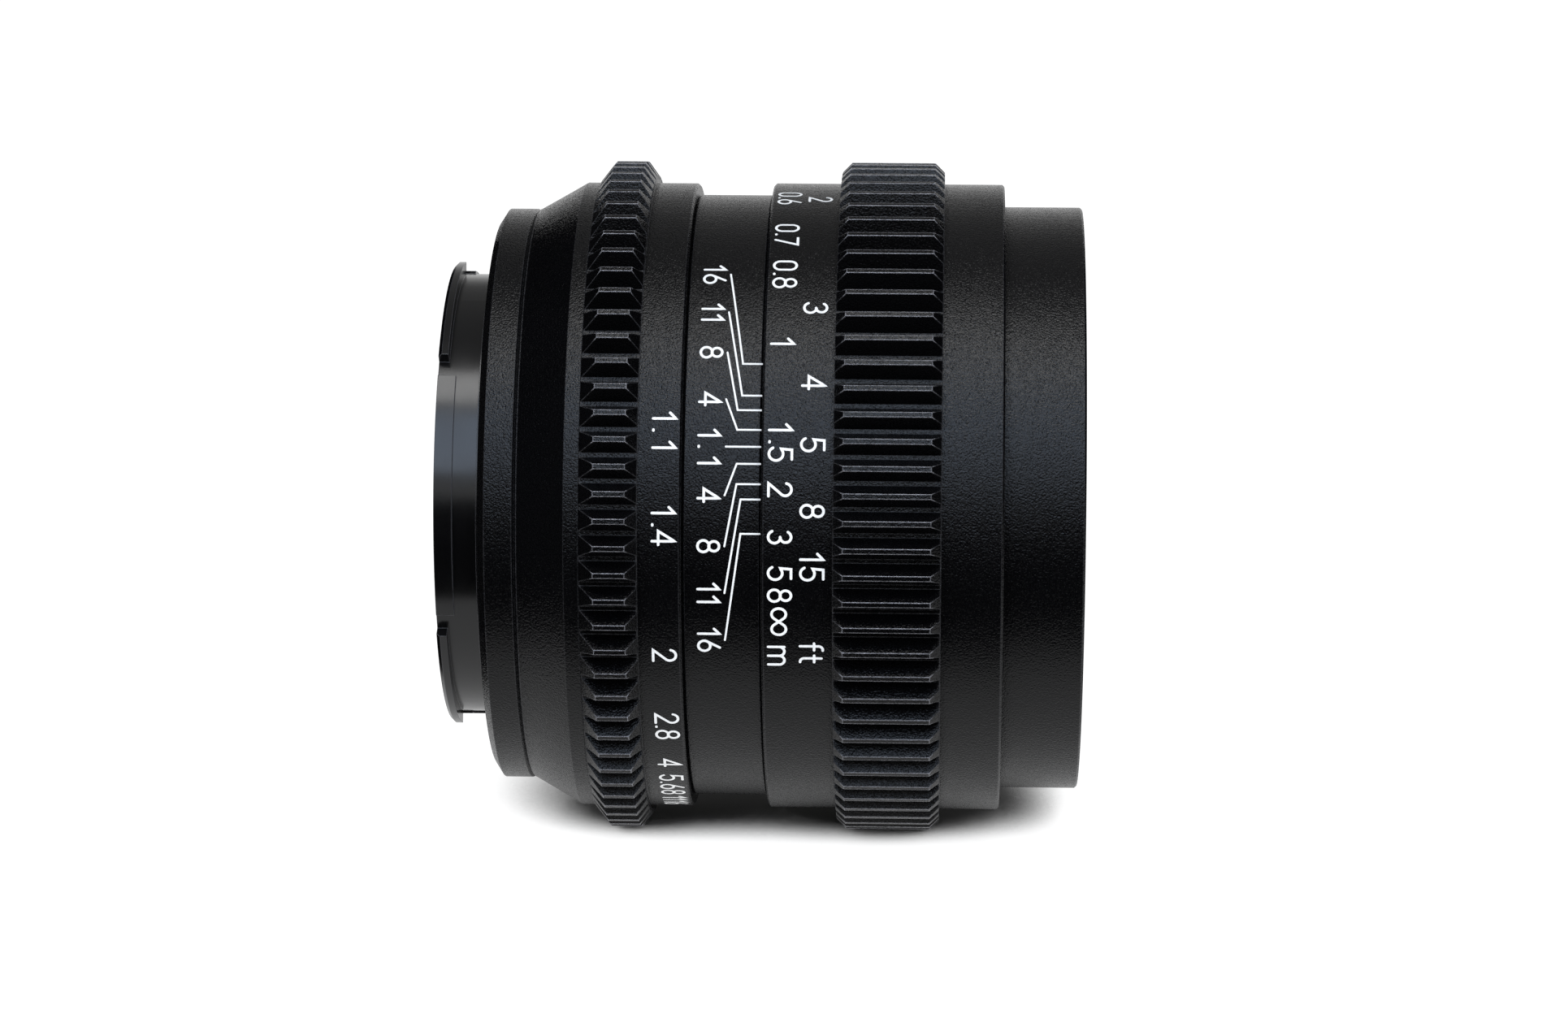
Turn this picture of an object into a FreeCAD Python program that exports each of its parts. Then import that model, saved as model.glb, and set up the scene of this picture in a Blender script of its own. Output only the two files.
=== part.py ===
import FreeCAD, Part
import math
import os
import re
import Sketcher

# A prime lens for filming. The optical axis is X, the front of the lens is at +X,
# and X = 0 is the rear face of the mount flange. The focus stands at 1.5 m and the iris is open.

os.makedirs("parts", exist_ok=True)
doc = FreeCAD.newDocument("prime_lens")
sheet = doc.addObject("Spreadsheet::Sheet", "Sizes")

DRIVING = {
    # Follow-focus gears
    "tooth_count": 81, "gear_height": 2.1, "tooth_depth": 1.8, "tip_land": 0.48, "root_land": 0.42,
    "cutter_rise": 0.45, "overcut": 1.0,
    # Bayonet mount. Turns are in degrees about the axis, from the top towards the index mark.
    "mount_radius": 21.85, "mount_bore": 19.6, "mount_reach": 4.25, "claw_radius": 23.1,
    "claw_thickness": 1.0, "claw_bevel": 0.35, "claw_arc": 48, "claw_count": 3, "claw_turn": 22,
    "rim_arc": 63, "rim_length": 1.75, "rim_height": 0.3,
    "plate_radius": 24.2, "plate_step": 0.44, "plate_thickness": 1.5, "relief_radius": 23.2,
    "relief_depth": 0.3, "screw_circle": 22.52, "pin_hole_radius": 0.6, "pin_hole_turn": 64,
    "lug_height": 0.5, "lug_length": 1.5, "lug_width": 2.4, "lug_rear": -2.8,
    "mount_screw_turn": 98, "mount_screw_radius": 0.4, "mount_head_radius": 0.6,
    "mount_head_depth": 0.6, "mount_screw_length": 2.9,
    # Outside of the barrel: the focus ring's radius, and how far each other band lies inside it
    "focus_radius": 31.1, "aperture_step": 0.05, "band_step": 0.05, "scale_step": 1.2, "front_step": 2.2,
    "collar_step": 2.7, "collar_bevel_length": 0.73, "collar_bevel_share": 0.27,
    # Outside lengths
    "collar_length": 3.56, "step_length": 0.25, "cone_length": 4.65, "band_length": 1.4,
    "aperture_gear_length": 5.45, "aperture_band_length": 4.15, "scale_length": 7.4,
    "focus_rear_length": 6.75, "focus_gear_length": 10.1, "focus_front_length": 5.9,
    "front_length": 7.7, "ring_gap": 0.05, "edge_bevel": 0.2,
    "rear_bevel_length": 1.45, "rear_bevel_depth": 1.85, "front_bevel_length": 1.0,
    "front_bevel_depth": 1.4, "focus_bevel": 0.93,
    # Fixed, turning and sliding tubes
    "running_gap": 0.05, "slide_gap": 0.05, "journal_step": 2.2, "focus_wall": 1.95,
    "tube_wall": 1.5, "guide_wall": 1.6, "sleeve_wall": 1.75, "guide_flange": 2.0, "sleeve_gap": 0.4,
    "retainer_length": 1.6, "retainer_height": 1.5, "guide_length": 24.9, "web_thickness": 1.4,
    "rear_wall": 1.2, "travel_room": 0.2,
    # Rollers, their slots and the small screws
    "focus_lead": 19.9, "focus_back_turn": 31.5, "focus_front_turn": 83.5, "roller_count": 3,
    "roller_radius": 1.5, "roller_turn": 20, "roller_place": 33.6, "roller_screw_radius": 0.8,
    "screw_depth": 0.3, "slot_gap": 0.04, "slot_room": 0.3, "grub_radius": 0.8, "grub_sink": 0.15,
    "scale_grub_place": 24.7, "focus_grub_place": 30.5, "grub_turn": 215, "grub_spread": 110,
    # Glass
    "front_wall": 0.95, "second_step": 2.2, "third_step": 0.5, "rear_glass_step": 0.6, "neck_wall": 1.6,
    "front_vertex": 51.5, "front_thickness": 6.5, "front_curve": 1.98, "front_back_bend": 130.0,
    "seat_width": 0.5, "doublet_seat_width": 1.0, "hollow_seat_width": 4.9, "rear_seat_width": 4.4,
    "glass_space": 0.5, "second_thickness": 7.0, "second_curve": 1.43, "doublet_bend": 70.0,
    "cement_gap": 0.1, "third_thickness": 2.2, "third_curve": 1.025, "fourth_vertex": 13.3,
    "fourth_bend": 20.0, "fourth_thickness": 1.8, "rear_doublet_bend": 75.0, "rear_rim_width": 1.4,
    "fifth_thickness": 5.2, "fifth_back_bend": 40.0, "sixth_thickness": 5.0, "sixth_bend": 80.0,
    "sixth_back_bend": 85.0, "glass_gap": 0.05,
    # Cells and their rings
    "cell_lip": 1.2, "cell_lip_length": 0.7, "front_cell_length": 4.76, "filter_wall": 3.3,
    "cell_seat_step": 0.4, "front_ring_width": 2.0, "front_ring_length": 2.2, "front_ring_step": 0.8,
    "front_mouth_wall": 0.6, "spacer_wall": 1.2, "spacer_step": 1.0, "rear_ring_width": 2.0,
    "rear_cell_step": 1.8, "neck_gap": 0.4, "rear_neck_length": 7.4, "rear_cell_rear": -1.5,
    "rear_flange_thickness": 0.9,
    "rear_ring_length": 1.2, "baffle_width": 3.8, "baffle_thickness": 0.7, "baffle_sink": 0.15,
    # Iris
    "blade_count": 10, "pivot_wall": 5.6, "blade_cover": 3.7, "blade_width": 6.4, "blade_span": 140,
    "loft_piece": 30,
    "blade_climb": 2.5, "blade_thickness": 0.04, "blade_room": 0.35, "pin_radius": 0.4, "pin_gap": 0.04,
    "pin_reach": 1.0, "rivet_height": 0.05, "iris_room": 1.4, "iris_base_thickness": 1.2,
    "iris_cam_thickness": 1.4, "cam_bore_gap": 0.1, "blade_turn": 44, "cam_slot_width": 1.9,
    "cam_slot_inward": 3.0, "cam_slot_outward": 1.6, "prong_height": 1.7, "prong_gap": 0.3,
    "prong_width": 2.4, "prong_rear": 8.5, "key_rear": 13.6, "key_length": 3.4, "key_width": 6.0,
    "key_foot": 0.6, "key_sink": 0.85, "key_turn": 150, "key_gap": 0.3, "window_room": 3,
    "key_screw_radius": 0.5, "key_screw_place": 16.3, "key_screw_depth": 0.9,
}

# Places worked out from the driving sizes. Axial places are measured from the flange face.
DERIVED = {
    "tip_radius": "focus_radius + gear_height",
    "aperture_radius": "focus_radius - aperture_step",
    "band_radius": "focus_radius - band_step",
    "scale_radius": "focus_radius - scale_step",
    "front_radius": "focus_radius - front_step",
    "collar_radius": "focus_radius - collar_step",
    "journal_radius": "focus_radius - journal_step",
    "collar_bevel_depth": "collar_bevel_share * (collar_radius - plate_radius)",
    "root_radius": "tip_radius - tooth_depth",
    "tooth_space_root": "root_land / 2",
    "tooth_space_tip": "pi * tip_radius / tooth_count - tip_land / 2",
    "collar_front": "plate_step + collar_length",
    "cone_rear": "collar_front + step_length",
    "cone_front": "cone_rear + cone_length",
    "band_front": "cone_front + band_length",
    "aperture_rear": "band_front + ring_gap",
    "aperture_gear_front": "aperture_rear + aperture_gear_length",
    "aperture_front": "aperture_gear_front + aperture_band_length",
    "scale_rear": "aperture_front + ring_gap",
    "scale_front": "scale_rear + scale_length",
    "focus_rear": "scale_front + ring_gap",
    "gear_rear": "focus_rear + focus_rear_length",
    "gear_front": "gear_rear + focus_gear_length",
    "focus_front": "gear_front + focus_front_length",
    "lens_front": "focus_front + front_length",
    "sleeve_radius": "focus_radius - focus_wall",
    "sleeve_bore": "sleeve_radius - sleeve_wall",
    "guide_radius": "sleeve_bore - running_gap",
    "guide_bore": "guide_radius - guide_wall",
    "tube_radius": "guide_bore - slide_gap",
    "guide_front": "scale_rear + guide_length",
    "sleeve_rear": "focus_rear + sleeve_gap",
    "retainer_rear": "guide_front - retainer_length",
    "sleeve_front": "retainer_rear - running_gap",
    "aperture_bore": "journal_radius + running_gap",
    "tube_bore": "tube_radius - tube_wall",
    "travel_back": "focus_lead * focus_back_turn / 360",
    "travel_front": "focus_lead * focus_front_turn / 360",
    "pivot_circle": "tube_bore - pivot_wall",
    "blade_bore": "pivot_circle - blade_cover",
    "iris_cam_bore": "blade_bore + cam_bore_gap",
    "cam_slot_inner": "pivot_circle - cam_slot_inward",
    "cam_slot_outer": "pivot_circle + cam_slot_outward",
    "prong_outer": "tube_bore - prong_gap",
    "prong_inner": "prong_outer - prong_height",
    "key_inner": "prong_inner - key_foot",
    "key_outer": "aperture_radius - key_sink",
    "iris_front": "third_land - cell_lip_length - iris_room",
    "web_rear": "guide_front + travel_back + travel_room",
    "web_front": "web_rear + web_thickness",
    "cam_rear": "iris_front - iris_base_thickness - blade_space - iris_cam_thickness",
    "cam_front": "cam_rear + iris_cam_thickness",
    "base_rear": "iris_front - iris_base_thickness",
    "blade_space": "blade_climb * (blade_span + 2 * blade_end) / blade_span"
                   " + blade_thickness + 2 * blade_room",
    "blade_end": "asin(blade_width / 2 / blade_middle) / 1 deg",
    "blade_middle": "blade_bore + blade_width / 2",
    "blade_front": "base_rear - blade_room - blade_climb * blade_end / blade_span",
    "filter_radius": "front_radius - filter_wall",
    "front_glass_radius": "cell_radius - front_wall",
    "second_glass_radius": "front_glass_radius - second_step",
    "third_glass_radius": "second_glass_radius - third_step",
    "rear_neck_radius": "mount_bore - neck_gap",
    "rear_cell_radius": "rear_neck_radius + rear_cell_step",
    "sixth_glass_radius": "rear_neck_radius - neck_wall",
    "fifth_glass_radius": "sixth_glass_radius + rear_glass_step",
    "fourth_glass_radius": "fifth_glass_radius + rear_glass_step",
    "front_bend": "front_curve * front_glass_radius",
    "second_bend": "second_curve * second_glass_radius",
    "third_back_bend": "third_curve * third_glass_radius",
    "front_land": "front_back_vertex - front_back_bend"
                  " + sqrt(front_back_bend^2 - (front_glass_radius - seat_width)^2)",
    "second_land": "second_back_vertex - doublet_bend"
                   " + sqrt(doublet_bend^2 - (second_glass_radius - doublet_seat_width)^2)",
    "third_land": "third_back_vertex - third_back_bend"
                  " + sqrt(third_back_bend^2 - (third_glass_radius - hollow_seat_width)^2)",
    "fourth_land": "fourth_vertex + fourth_bend"
                   " - sqrt(fourth_bend^2 - (fourth_glass_radius - rear_seat_width)^2)",
    "fifth_land": "fifth_vertex + rear_doublet_bend"
                  " - sqrt(rear_doublet_bend^2 - (fifth_glass_radius - rear_rim_width)^2)",
    "front_ring_radius": "front_glass_radius + front_ring_step",
    "spacer_radius": "front_glass_radius - spacer_step",
    "baffle_bore": "mount_bore - baffle_width",
    "front_cell_rear": "third_land - cell_lip_length",
    "front_cell_front": "web_front + front_cell_length",
    "front_ring_bore": "front_glass_radius - front_ring_width",
    "front_ring_rear": "front_vertex - front_bend + sqrt(front_bend^2 - front_ring_bore^2) + glass_gap",
    "front_ring_front": "front_ring_rear + front_ring_length",
    "spacer_bore": "second_glass_radius - spacer_wall",
    "spacer_rear": "second_vertex - second_bend + sqrt(second_bend^2 - spacer_bore^2) + glass_gap",
    "rear_neck_front": "rear_cell_rear + rear_neck_length",
    "rear_ring_bore": "sixth_glass_radius - rear_ring_width",
    "tube_rear": "cam_rear - travel_room",
    "cell_radius": "tube_bore - slide_gap",
    "cell_seat_radius": "filter_radius - cell_seat_step",
    "front_back_vertex": "front_vertex - front_thickness",
    "second_vertex": "front_back_vertex - glass_space",
    "second_back_vertex": "second_vertex - second_thickness",
    "third_vertex": "second_back_vertex - cement_gap",
    "third_back_vertex": "third_vertex - third_thickness",
    "fourth_back_vertex": "fourth_vertex - fourth_thickness",
    "fifth_vertex": "fourth_back_vertex - cement_gap",
    "fifth_back_vertex": "fifth_vertex - fifth_thickness",
    "sixth_vertex": "fifth_back_vertex - glass_space",
    "sixth_back_vertex": "sixth_vertex - sixth_thickness",
}
UNITS_AND_FUNCTIONS = ("abs", "asin", "sin", "cos", "sqrt", "deg", "pi")

for row, (alias, number) in enumerate(DRIVING.items(), start=1):
    sheet.set(f"A{row}", alias)
    sheet.set(f"B{row}", str(number))
    sheet.setAlias(f"B{row}", alias)
doc.recompute()


def formula(text):
    """Write out the derived places and point each driving size at its cell."""
    def word(match):
        name = match[0]
        if name in UNITS_AND_FUNCTIONS:
            return name
        if name in DERIVED:
            return f"({formula(DERIVED[name])})"
        return f"Sizes.{name}"
    return re.sub(r"[a-z][a-z_]*", word, text)


def value(text):
    return float(sheet.evalExpression(formula(text)))


def bind(item, **settings):
    """Tie properties of an object to the sheet, such as Radius="tube_radius - tube_wall"."""
    for name, text in settings.items():
        path = name.replace("_", ".")
        item.setExpression(path, formula(text))
    return item


def origin(body, role):
    return next(item for item in body.Origin.OriginFeatures if item.Role == role)


def outline(body, name, corners, plane="XY_Plane", offset="0"):
    """Sketch a closed outline of straight runs whose corners are pairs of formulas."""
    sketch = body.newObject("Sketcher::SketchObject", name)
    sketch.AttachmentSupport = [(origin(body, plane), "")]
    sketch.MapMode = "FlatFace"
    sketch.setExpression("AttachmentOffset.Base.z", formula(offset))
    places = [FreeCAD.Vector(value(x), value(y), 0) for x, y in corners]
    ends = places[1:] + places[:1]
    sketch.addGeometry([Part.LineSegment(a, b) for a, b in zip(places, ends)], False)
    last = len(corners)
    for edge in range(last):
        sketch.addConstraint(Sketcher.Constraint("Coincident", edge, 2, (edge + 1) % last, 1))
    for edge, (corner, place) in enumerate(zip(corners, places)):
        for kind, text, number in (("DistanceX", corner[0], place.x), ("DistanceY", corner[1], place.y)):
            made = sketch.addConstraint(Sketcher.Constraint(kind, -1, 1, edge, 1, number))
            sketch.setExpression(f"Constraints[{made}]", formula(text))
    return sketch


def turned(name, corners):
    """A ring or tube: an outline in (place along the axis, radius), turned about the axis."""
    body = doc.addObject("PartDesign::Body", name)
    spin = body.newObject("PartDesign::Revolution", f"{name}_turned")
    spin.Profile = outline(body, f"{name}_outline", corners)
    spin.ReferenceAxis = (origin(body, "X_Axis"), [""])
    spin.Angle = 360
    body.Tip = spin
    doc.recompute()
    return body


def tube(name, rear, front, inner, outer):
    return turned(name, [(rear, inner), (rear, outer), (front, outer), (front, inner)])


def cylinder(name, rear, length, radius, angle=None):
    rod = doc.addObject("Part::Cylinder", name)
    rod.Placement.Rotation = FreeCAD.Rotation(FreeCAD.Vector(0, 1, 0), 90)
    bind(rod, Radius=radius, Height=length, Placement_Base_x=rear)
    if angle:
        bind(rod, Angle=angle)
    return rod


def radial_rod(name, place, inner, outer, radius):
    """A rod that stands out from the axis along +Z."""
    rod = doc.addObject("Part::Cylinder", name)
    return bind(rod, Radius=radius, Height=f"({outer}) - ({inner})", Placement_Base_x=place,
                Placement_Base_z=inner)


def block(name, rear, front, inner, outer, width):
    """A block that stands out from the axis along +Z, centred on the XZ plane."""
    made = doc.addObject("Part::Box", name)
    return bind(made, Length=f"({front}) - ({rear})", Width=width, Height=f"({outer}) - ({inner})",
                Placement_Base_x=rear, Placement_Base_y=f"-({width}) / 2", Placement_Base_z=inner)


def sector(name, rear, length, radius, turn, arc):
    """A pie slice about the axis. It starts at turn, measured from +Z, and runs through arc."""
    rod = cylinder(name, rear, length, radius, arc)
    rod.Placement.Rotation = about_axis(value(turn) + 180) * rod.Placement.Rotation
    return rod


def boolean(kind, name, base, tool):
    made = doc.addObject(f"Part::{kind}", name)
    made.Base = base
    made.Tool = tool
    return made


def merged(name, pieces):
    made = doc.addObject("Part::MultiFuse", name)
    made.Shapes = pieces
    return made


def copies(name, piece, turns):
    """Copies of a piece turned about the axis, as one group of separate solids."""
    group = doc.addObject("Part::Compound", name)
    group.Links = [turned_copy(f"{name}_{index}", piece, turn) for index, turn in enumerate(turns, start=1)]
    return group


def turned_copy(name, piece, degrees):
    copy = doc.addObject("Part::Compound", name)
    copy.Links = [piece]
    copy.Placement.Rotation = about_axis(degrees)
    return copy


def about_axis(degrees):
    return FreeCAD.Rotation(FreeCAD.Vector(1, 0, 0), degrees)


def even_turns(count, first="0"):
    number = round(value(count))
    return [value(first) + 360 * index / number for index in range(number)]


def teeth(body, rear, front):
    """Cut the spaces between the teeth of a ring, which leaves one tooth for each count."""
    name = body.Label
    past = "tip_radius + cutter_rise"
    spread = "(tooth_space_tip + (tooth_space_tip - tooth_space_root) * cutter_rise / tooth_depth)"
    space = [("root_radius", "-tooth_space_root"), (past, f"-{spread}"), (past, spread),
             ("root_radius", "tooth_space_root")]
    cut = body.newObject("PartDesign::Pocket", f"{name}_space")
    cut.Profile = outline(body, f"{name}_space_outline", space, "YZ_Plane", rear)
    cut.Reversed = True
    bind(cut, Length=f"({front}) - ({rear})")
    body.Tip = cut
    doc.recompute()
    ring = body.newObject("PartDesign::PolarPattern", f"{name}_teeth")
    ring.Originals = [cut]
    ring.Axis = (origin(body, "X_Axis"), [""])
    ring.Angle = 360
    ring.setExpression("Occurrences", formula("tooth_count"))
    body.Tip = ring
    doc.recompute()
    return body


def glass(name, radius, land, front, rear):
    """A lens element. Each face is (vertex, bend), and a bend above 0 bulges to the front."""
    front_vertex, front_bend = front
    rear_vertex, rear_bend = rear
    rear_end = land if value(rear_bend) > 0 else rear_vertex
    front_end = land if value(front_bend) < 0 else front_vertex
    blank = cylinder(f"{name}_blank", rear_end, f"({front_end}) - ({rear_end})", radius)
    front_ball = ball(f"{name}_front_face", f"({front_vertex}) - ({front_bend})", front_bend)
    rear_ball = ball(f"{name}_rear_face", f"({rear_vertex}) - ({rear_bend})", rear_bend)
    faced = boolean("Common" if value(front_bend) > 0 else "Cut", f"{name}_faced", blank, front_ball)
    return boolean("Cut" if value(rear_bend) > 0 else "Common", name, faced, rear_ball)


def ball(name, place, bend):
    made = doc.addObject("Part::Sphere", name)
    return bind(made, Radius=f"abs({bend})", Placement_Base_x=place)


def bayonet_mount():
    """Barrel, flange plate and claws are one machined piece. The claws are drawn at the top, a rim below."""
    rear = "-mount_reach"
    barrel = turned("bayonet_barrel", [
        (rear, "mount_bore"), (rear, "mount_radius"), ("relief_depth", "mount_radius"),
        ("relief_depth", "relief_radius"), ("0", "relief_radius"), ("0", "plate_radius"),
        ("plate_thickness", "plate_radius"), ("plate_thickness", "mount_radius"),
        ("collar_front", "mount_radius"), ("collar_front", "mount_bore"),
    ])
    claw_front = "(claw_thickness - mount_reach)"
    foot = "(mount_radius - rim_height)"
    claw = [(rear, foot), (rear, "claw_radius - claw_bevel"), (f"{rear} + claw_bevel", "claw_radius"),
            (claw_front, "claw_radius"), (claw_front, foot)]
    rim_front = "(rim_length - mount_reach)"
    rim = [(rear, f"-{foot}"), (rear, "-(mount_radius + rim_height)"),
           (rim_front, "-(mount_radius + rim_height)"), (rim_front, f"-{foot}")]
    for name, corners, arc in (("claw", claw, "claw_arc"), ("rim", rim, "rim_arc")):
        part_turn = barrel.newObject("PartDesign::Revolution", f"{name}_turned")
        part_turn.Profile = outline(barrel, f"{name}_outline", corners)
        part_turn.ReferenceAxis = (origin(barrel, "X_Axis"), [""])
        part_turn.Midplane = True
        bind(part_turn, Angle=arc)
        barrel.Tip = part_turn
        doc.recompute()
        ring = barrel.newObject("PartDesign::PolarPattern", f"{name}_ring")
        ring.Originals = [part_turn]
        ring.Axis = (origin(barrel, "X_Axis"), [""])
        ring.Angle = 360
        bind(ring, Occurrences="claw_count")
        barrel.Tip = ring
        doc.recompute()
    # The outline plane is XY, so its top lies along +Y, a quarter turn before +Z.
    barrel.Placement.Rotation = about_axis(90 + value("claw_turn"))
    lug = block("stop_lug", "lug_rear", "lug_rear + lug_length", "mount_radius - rim_height",
                "mount_radius + lug_height", "lug_width")
    low_lug = turned_copy("low_stop_lug", lug, 180)
    hole = cylinder("lock_pin_drill", "-overcut", "plate_thickness + overcut", "pin_hole_radius")
    bind(hole, Placement_Base_z="screw_circle")
    drills = copies("mount_drills", hole, [value("pin_hole_turn")])
    solid = merged("bayonet_solid", [barrel, low_lug])
    drilled = boolean("Cut", "bayonet_drilled", solid, drills)
    return boolean("Cut", "bayonet_mount", drilled, mount_screws("mount_screw_seats"))


def mount_screws(name):
    head = cylinder(f"{name}_head", "relief_depth", "mount_head_depth", "mount_head_radius")
    shaft = cylinder(f"{name}_shaft", "relief_depth", "mount_screw_length", "mount_screw_radius")
    for item in (head, shaft):
        bind(item, Placement_Base_z="screw_circle")
    return copies(name, merged(f"{name}_one", [head, shaft]), even_turns("claw_count", "mount_screw_turn"))


def mount_collar():
    collar = turned("collar_turned", [
        ("plate_step", "plate_radius"), ("plate_step", "collar_radius - collar_bevel_depth"),
        ("plate_step + collar_bevel_length", "collar_radius"), ("collar_front - edge_bevel", "collar_radius"),
        ("collar_front", "collar_radius - edge_bevel"), ("collar_front", "mount_radius"),
        ("plate_thickness", "mount_radius"), ("plate_thickness", "plate_radius"),
    ])
    return boolean("Cut", "mount_collar", collar, mount_screws("collar_screw_holes"))


def rear_barrel():
    """The cone and band, with the journal that the aperture ring turns on and a window for its key."""
    wall_front = "collar_front + rear_wall"
    barrel = turned("rear_barrel_turned", [
        ("collar_front", "mount_radius"), ("collar_front", "collar_radius - edge_bevel"),
        ("collar_front + edge_bevel", "collar_radius"), ("cone_rear", "collar_radius"),
        ("cone_front", "band_radius"), ("band_front", "band_radius"), ("band_front", "journal_radius"),
        ("scale_rear", "journal_radius"), ("scale_rear", "guide_bore"), (wall_front, "guide_bore"),
        (wall_front, "mount_radius"),
    ])
    half = "(asin(key_width / 2 / guide_bore) / 1 deg + window_room)"
    window = sector("key_window", "key_rear - key_gap", "key_length + 2 * key_gap", "band_radius",
                    f"key_turn - 2 * blade_turn - {half}", f"2 * blade_turn + 2 * {half}")
    return boolean("Cut", "rear_barrel", barrel, window)


def key_screws(name):
    screw = radial_rod(f"{name}_one", "key_screw_place", "key_outer - key_screw_depth",
                       "aperture_radius - grub_sink", "key_screw_radius")
    return copies(name, screw, [value("key_turn")])


def aperture_ring():
    tip = "tip_radius"
    ring = turned("aperture_ring_toothed", [
        ("aperture_rear", "aperture_bore"), ("aperture_rear", f"{tip} - rear_bevel_depth"),
        ("aperture_rear + rear_bevel_length", tip), ("aperture_gear_front - front_bevel_length", tip),
        ("aperture_gear_front", f"{tip} - front_bevel_depth"), ("aperture_gear_front", "aperture_radius"),
        ("aperture_front - edge_bevel", "aperture_radius"),
        ("aperture_front", "aperture_radius - edge_bevel"), ("aperture_front", "aperture_bore"),
    ])
    teeth(ring, "aperture_rear", "aperture_gear_front")
    seat = turned_copy("key_seat", block("key_seat_block", "key_rear", "key_rear + key_length", "key_inner",
                                         "key_outer", "key_width"), value("key_turn"))
    seated = boolean("Cut", "aperture_ring_seated", ring, seat)
    return boolean("Cut", "aperture_ring", seated, key_screws("key_screw_holes"))


def aperture_key():
    """A fork that stands in from the aperture ring and straddles the long prong of the iris cam ring."""
    body = block("key_body", "key_rear", "key_rear + key_length", "key_inner", "key_outer", "key_width")
    fork = block("key_fork", "key_rear - overcut", "key_rear + key_length + overcut", "key_inner - overcut",
                 "prong_outer + slide_gap", "prong_width + 2 * slide_gap")
    forked = turned_copy("forked_key", boolean("Cut", "key_forked", body, fork), value("key_turn"))
    return boolean("Cut", "aperture_key", forked, key_screws("key_screw_threads"))


def iris_cam_ring():
    ring = tube("iris_cam_disc", "cam_rear", "cam_front", "iris_cam_bore", "cell_radius")
    slot = block("iris_cam_slot", "cam_rear - overcut", "cam_front + overcut", "cam_slot_inner",
                 "cam_slot_outer",
                 "cam_slot_width")
    turns = [turn - value("blade_span") for turn in even_turns("blade_count")]
    slotted = boolean("Cut", "iris_cam_slotted", ring, copies("iris_cam_slots", slot, turns))
    prong = turned_copy("iris_cam_prong", block("prong_block", "prong_rear", "cam_front", "prong_inner",
                                                "prong_outer", "prong_width"), value("key_turn"))
    return merged("iris_cam_ring", [slotted, prong])


def iris_base_ring():
    ring = tube("iris_base_disc", "base_rear", "iris_front", "blade_bore", "cell_radius")
    hole = cylinder("pivot_hole", "base_rear - overcut", "iris_base_thickness + 2 * overcut",
                    "pin_radius + pin_gap")
    bind(hole, Placement_Base_z="pivot_circle")
    return boolean("Cut", "iris_base_ring", ring, copies("pivot_holes", hole, even_turns("blade_count")))


def helical_band(inner, outer, first, last, lead, height):
    """A band that climbs along +Z as it turns from the angle first to last, lead for each full turn."""
    steps = math.ceil((last - first) / value("loft_piece"))
    sections = []
    for step in range(steps + 1):
        degrees = first + (last - first) * step / steps
        floor = lead * degrees / 360
        corners = [polar(radius, degrees, floor + rise)
                   for radius, rise in ((inner, 0), (outer, 0), (outer, height), (inner, height))]
        sections.append(Part.makePolygon(corners + corners[:1]))
    return Part.makeLoft(sections, True, True)


def polar(radius, degrees, height=0):
    angle = math.radians(degrees)
    return FreeCAD.Vector(radius * math.cos(angle), radius * math.sin(angle), height)


def blade_shape():
    """A thin crescent that climbs as it runs round, so that each blade lies over the next and none cross."""
    inner, width = value("blade_bore"), value("blade_width")
    span, end = value("blade_span"), value("blade_end")
    outer = inner + width
    middle = value("blade_middle")
    lead = value("blade_climb") * 360 / span
    thickness = value("blade_thickness")
    spare = value("overcut")
    crescent = Part.Wire([
        Part.Arc(polar(inner, 0), polar(inner, span / 2), polar(inner, span)).toShape(),
        Part.Arc(polar(inner, span), polar(middle, span + end), polar(outer, span)).toShape(),
        Part.Arc(polar(outer, span), polar(outer, span / 2), polar(outer, 0)).toShape(),
        Part.Arc(polar(outer, 0), polar(middle, -end), polar(inner, 0)).toShape(),
    ])
    space = value("blade_space")
    prism = Part.Face(crescent).extrude(FreeCAD.Vector(0, 0, 2 * space))
    prism.translate(FreeCAD.Vector(0, 0, -space / 2))
    sheet_metal = helical_band(inner - spare, outer + spare, -end - spare, span + end + spare,
                               lead, thickness)
    rivet = thickness + value("rivet_height")
    front_gap = value("base_rear") - value("blade_front")
    circle, pin, reach = (value(name) for name in ("pivot_circle", "pin_radius", "pin_reach"))
    climb = value("blade_climb")
    drive_end = space - front_gap + reach
    pivot_pin = Part.makeCylinder(pin, front_gap + reach + rivet, polar(circle, 0, -front_gap - reach))
    drive_foot = climb - value("rivet_height")
    drive_pin = Part.makeCylinder(pin, drive_end - drive_foot, polar(circle, span, drive_foot))
    return sheet_metal.common(prism).fuse([pivot_pin, drive_pin]).Solids[0]


def iris_blades():
    shape = blade_shape()
    to_rear = FreeCAD.Rotation(FreeCAD.Vector(0, 1, 0), -90)
    made = []
    for index, turn in enumerate(even_turns("blade_count"), start=1):
        blade = doc.addObject("Part::Feature", f"iris_blade_{index:02d}")
        blade.Shape = shape
        blade.Placement = FreeCAD.Placement(FreeCAD.Vector(value("blade_front"), 0, 0),
                                            about_axis(turn) * to_rear)
        made.append(blade)
    return made


def grub_screws(name, place, inner, outer):
    screw = radial_rod(f"{name}_one", place, inner, f"{outer} - grub_sink", "grub_radius")
    return copies(name, screw, [value("grub_turn"), value("grub_turn") + value("grub_spread")])


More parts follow.
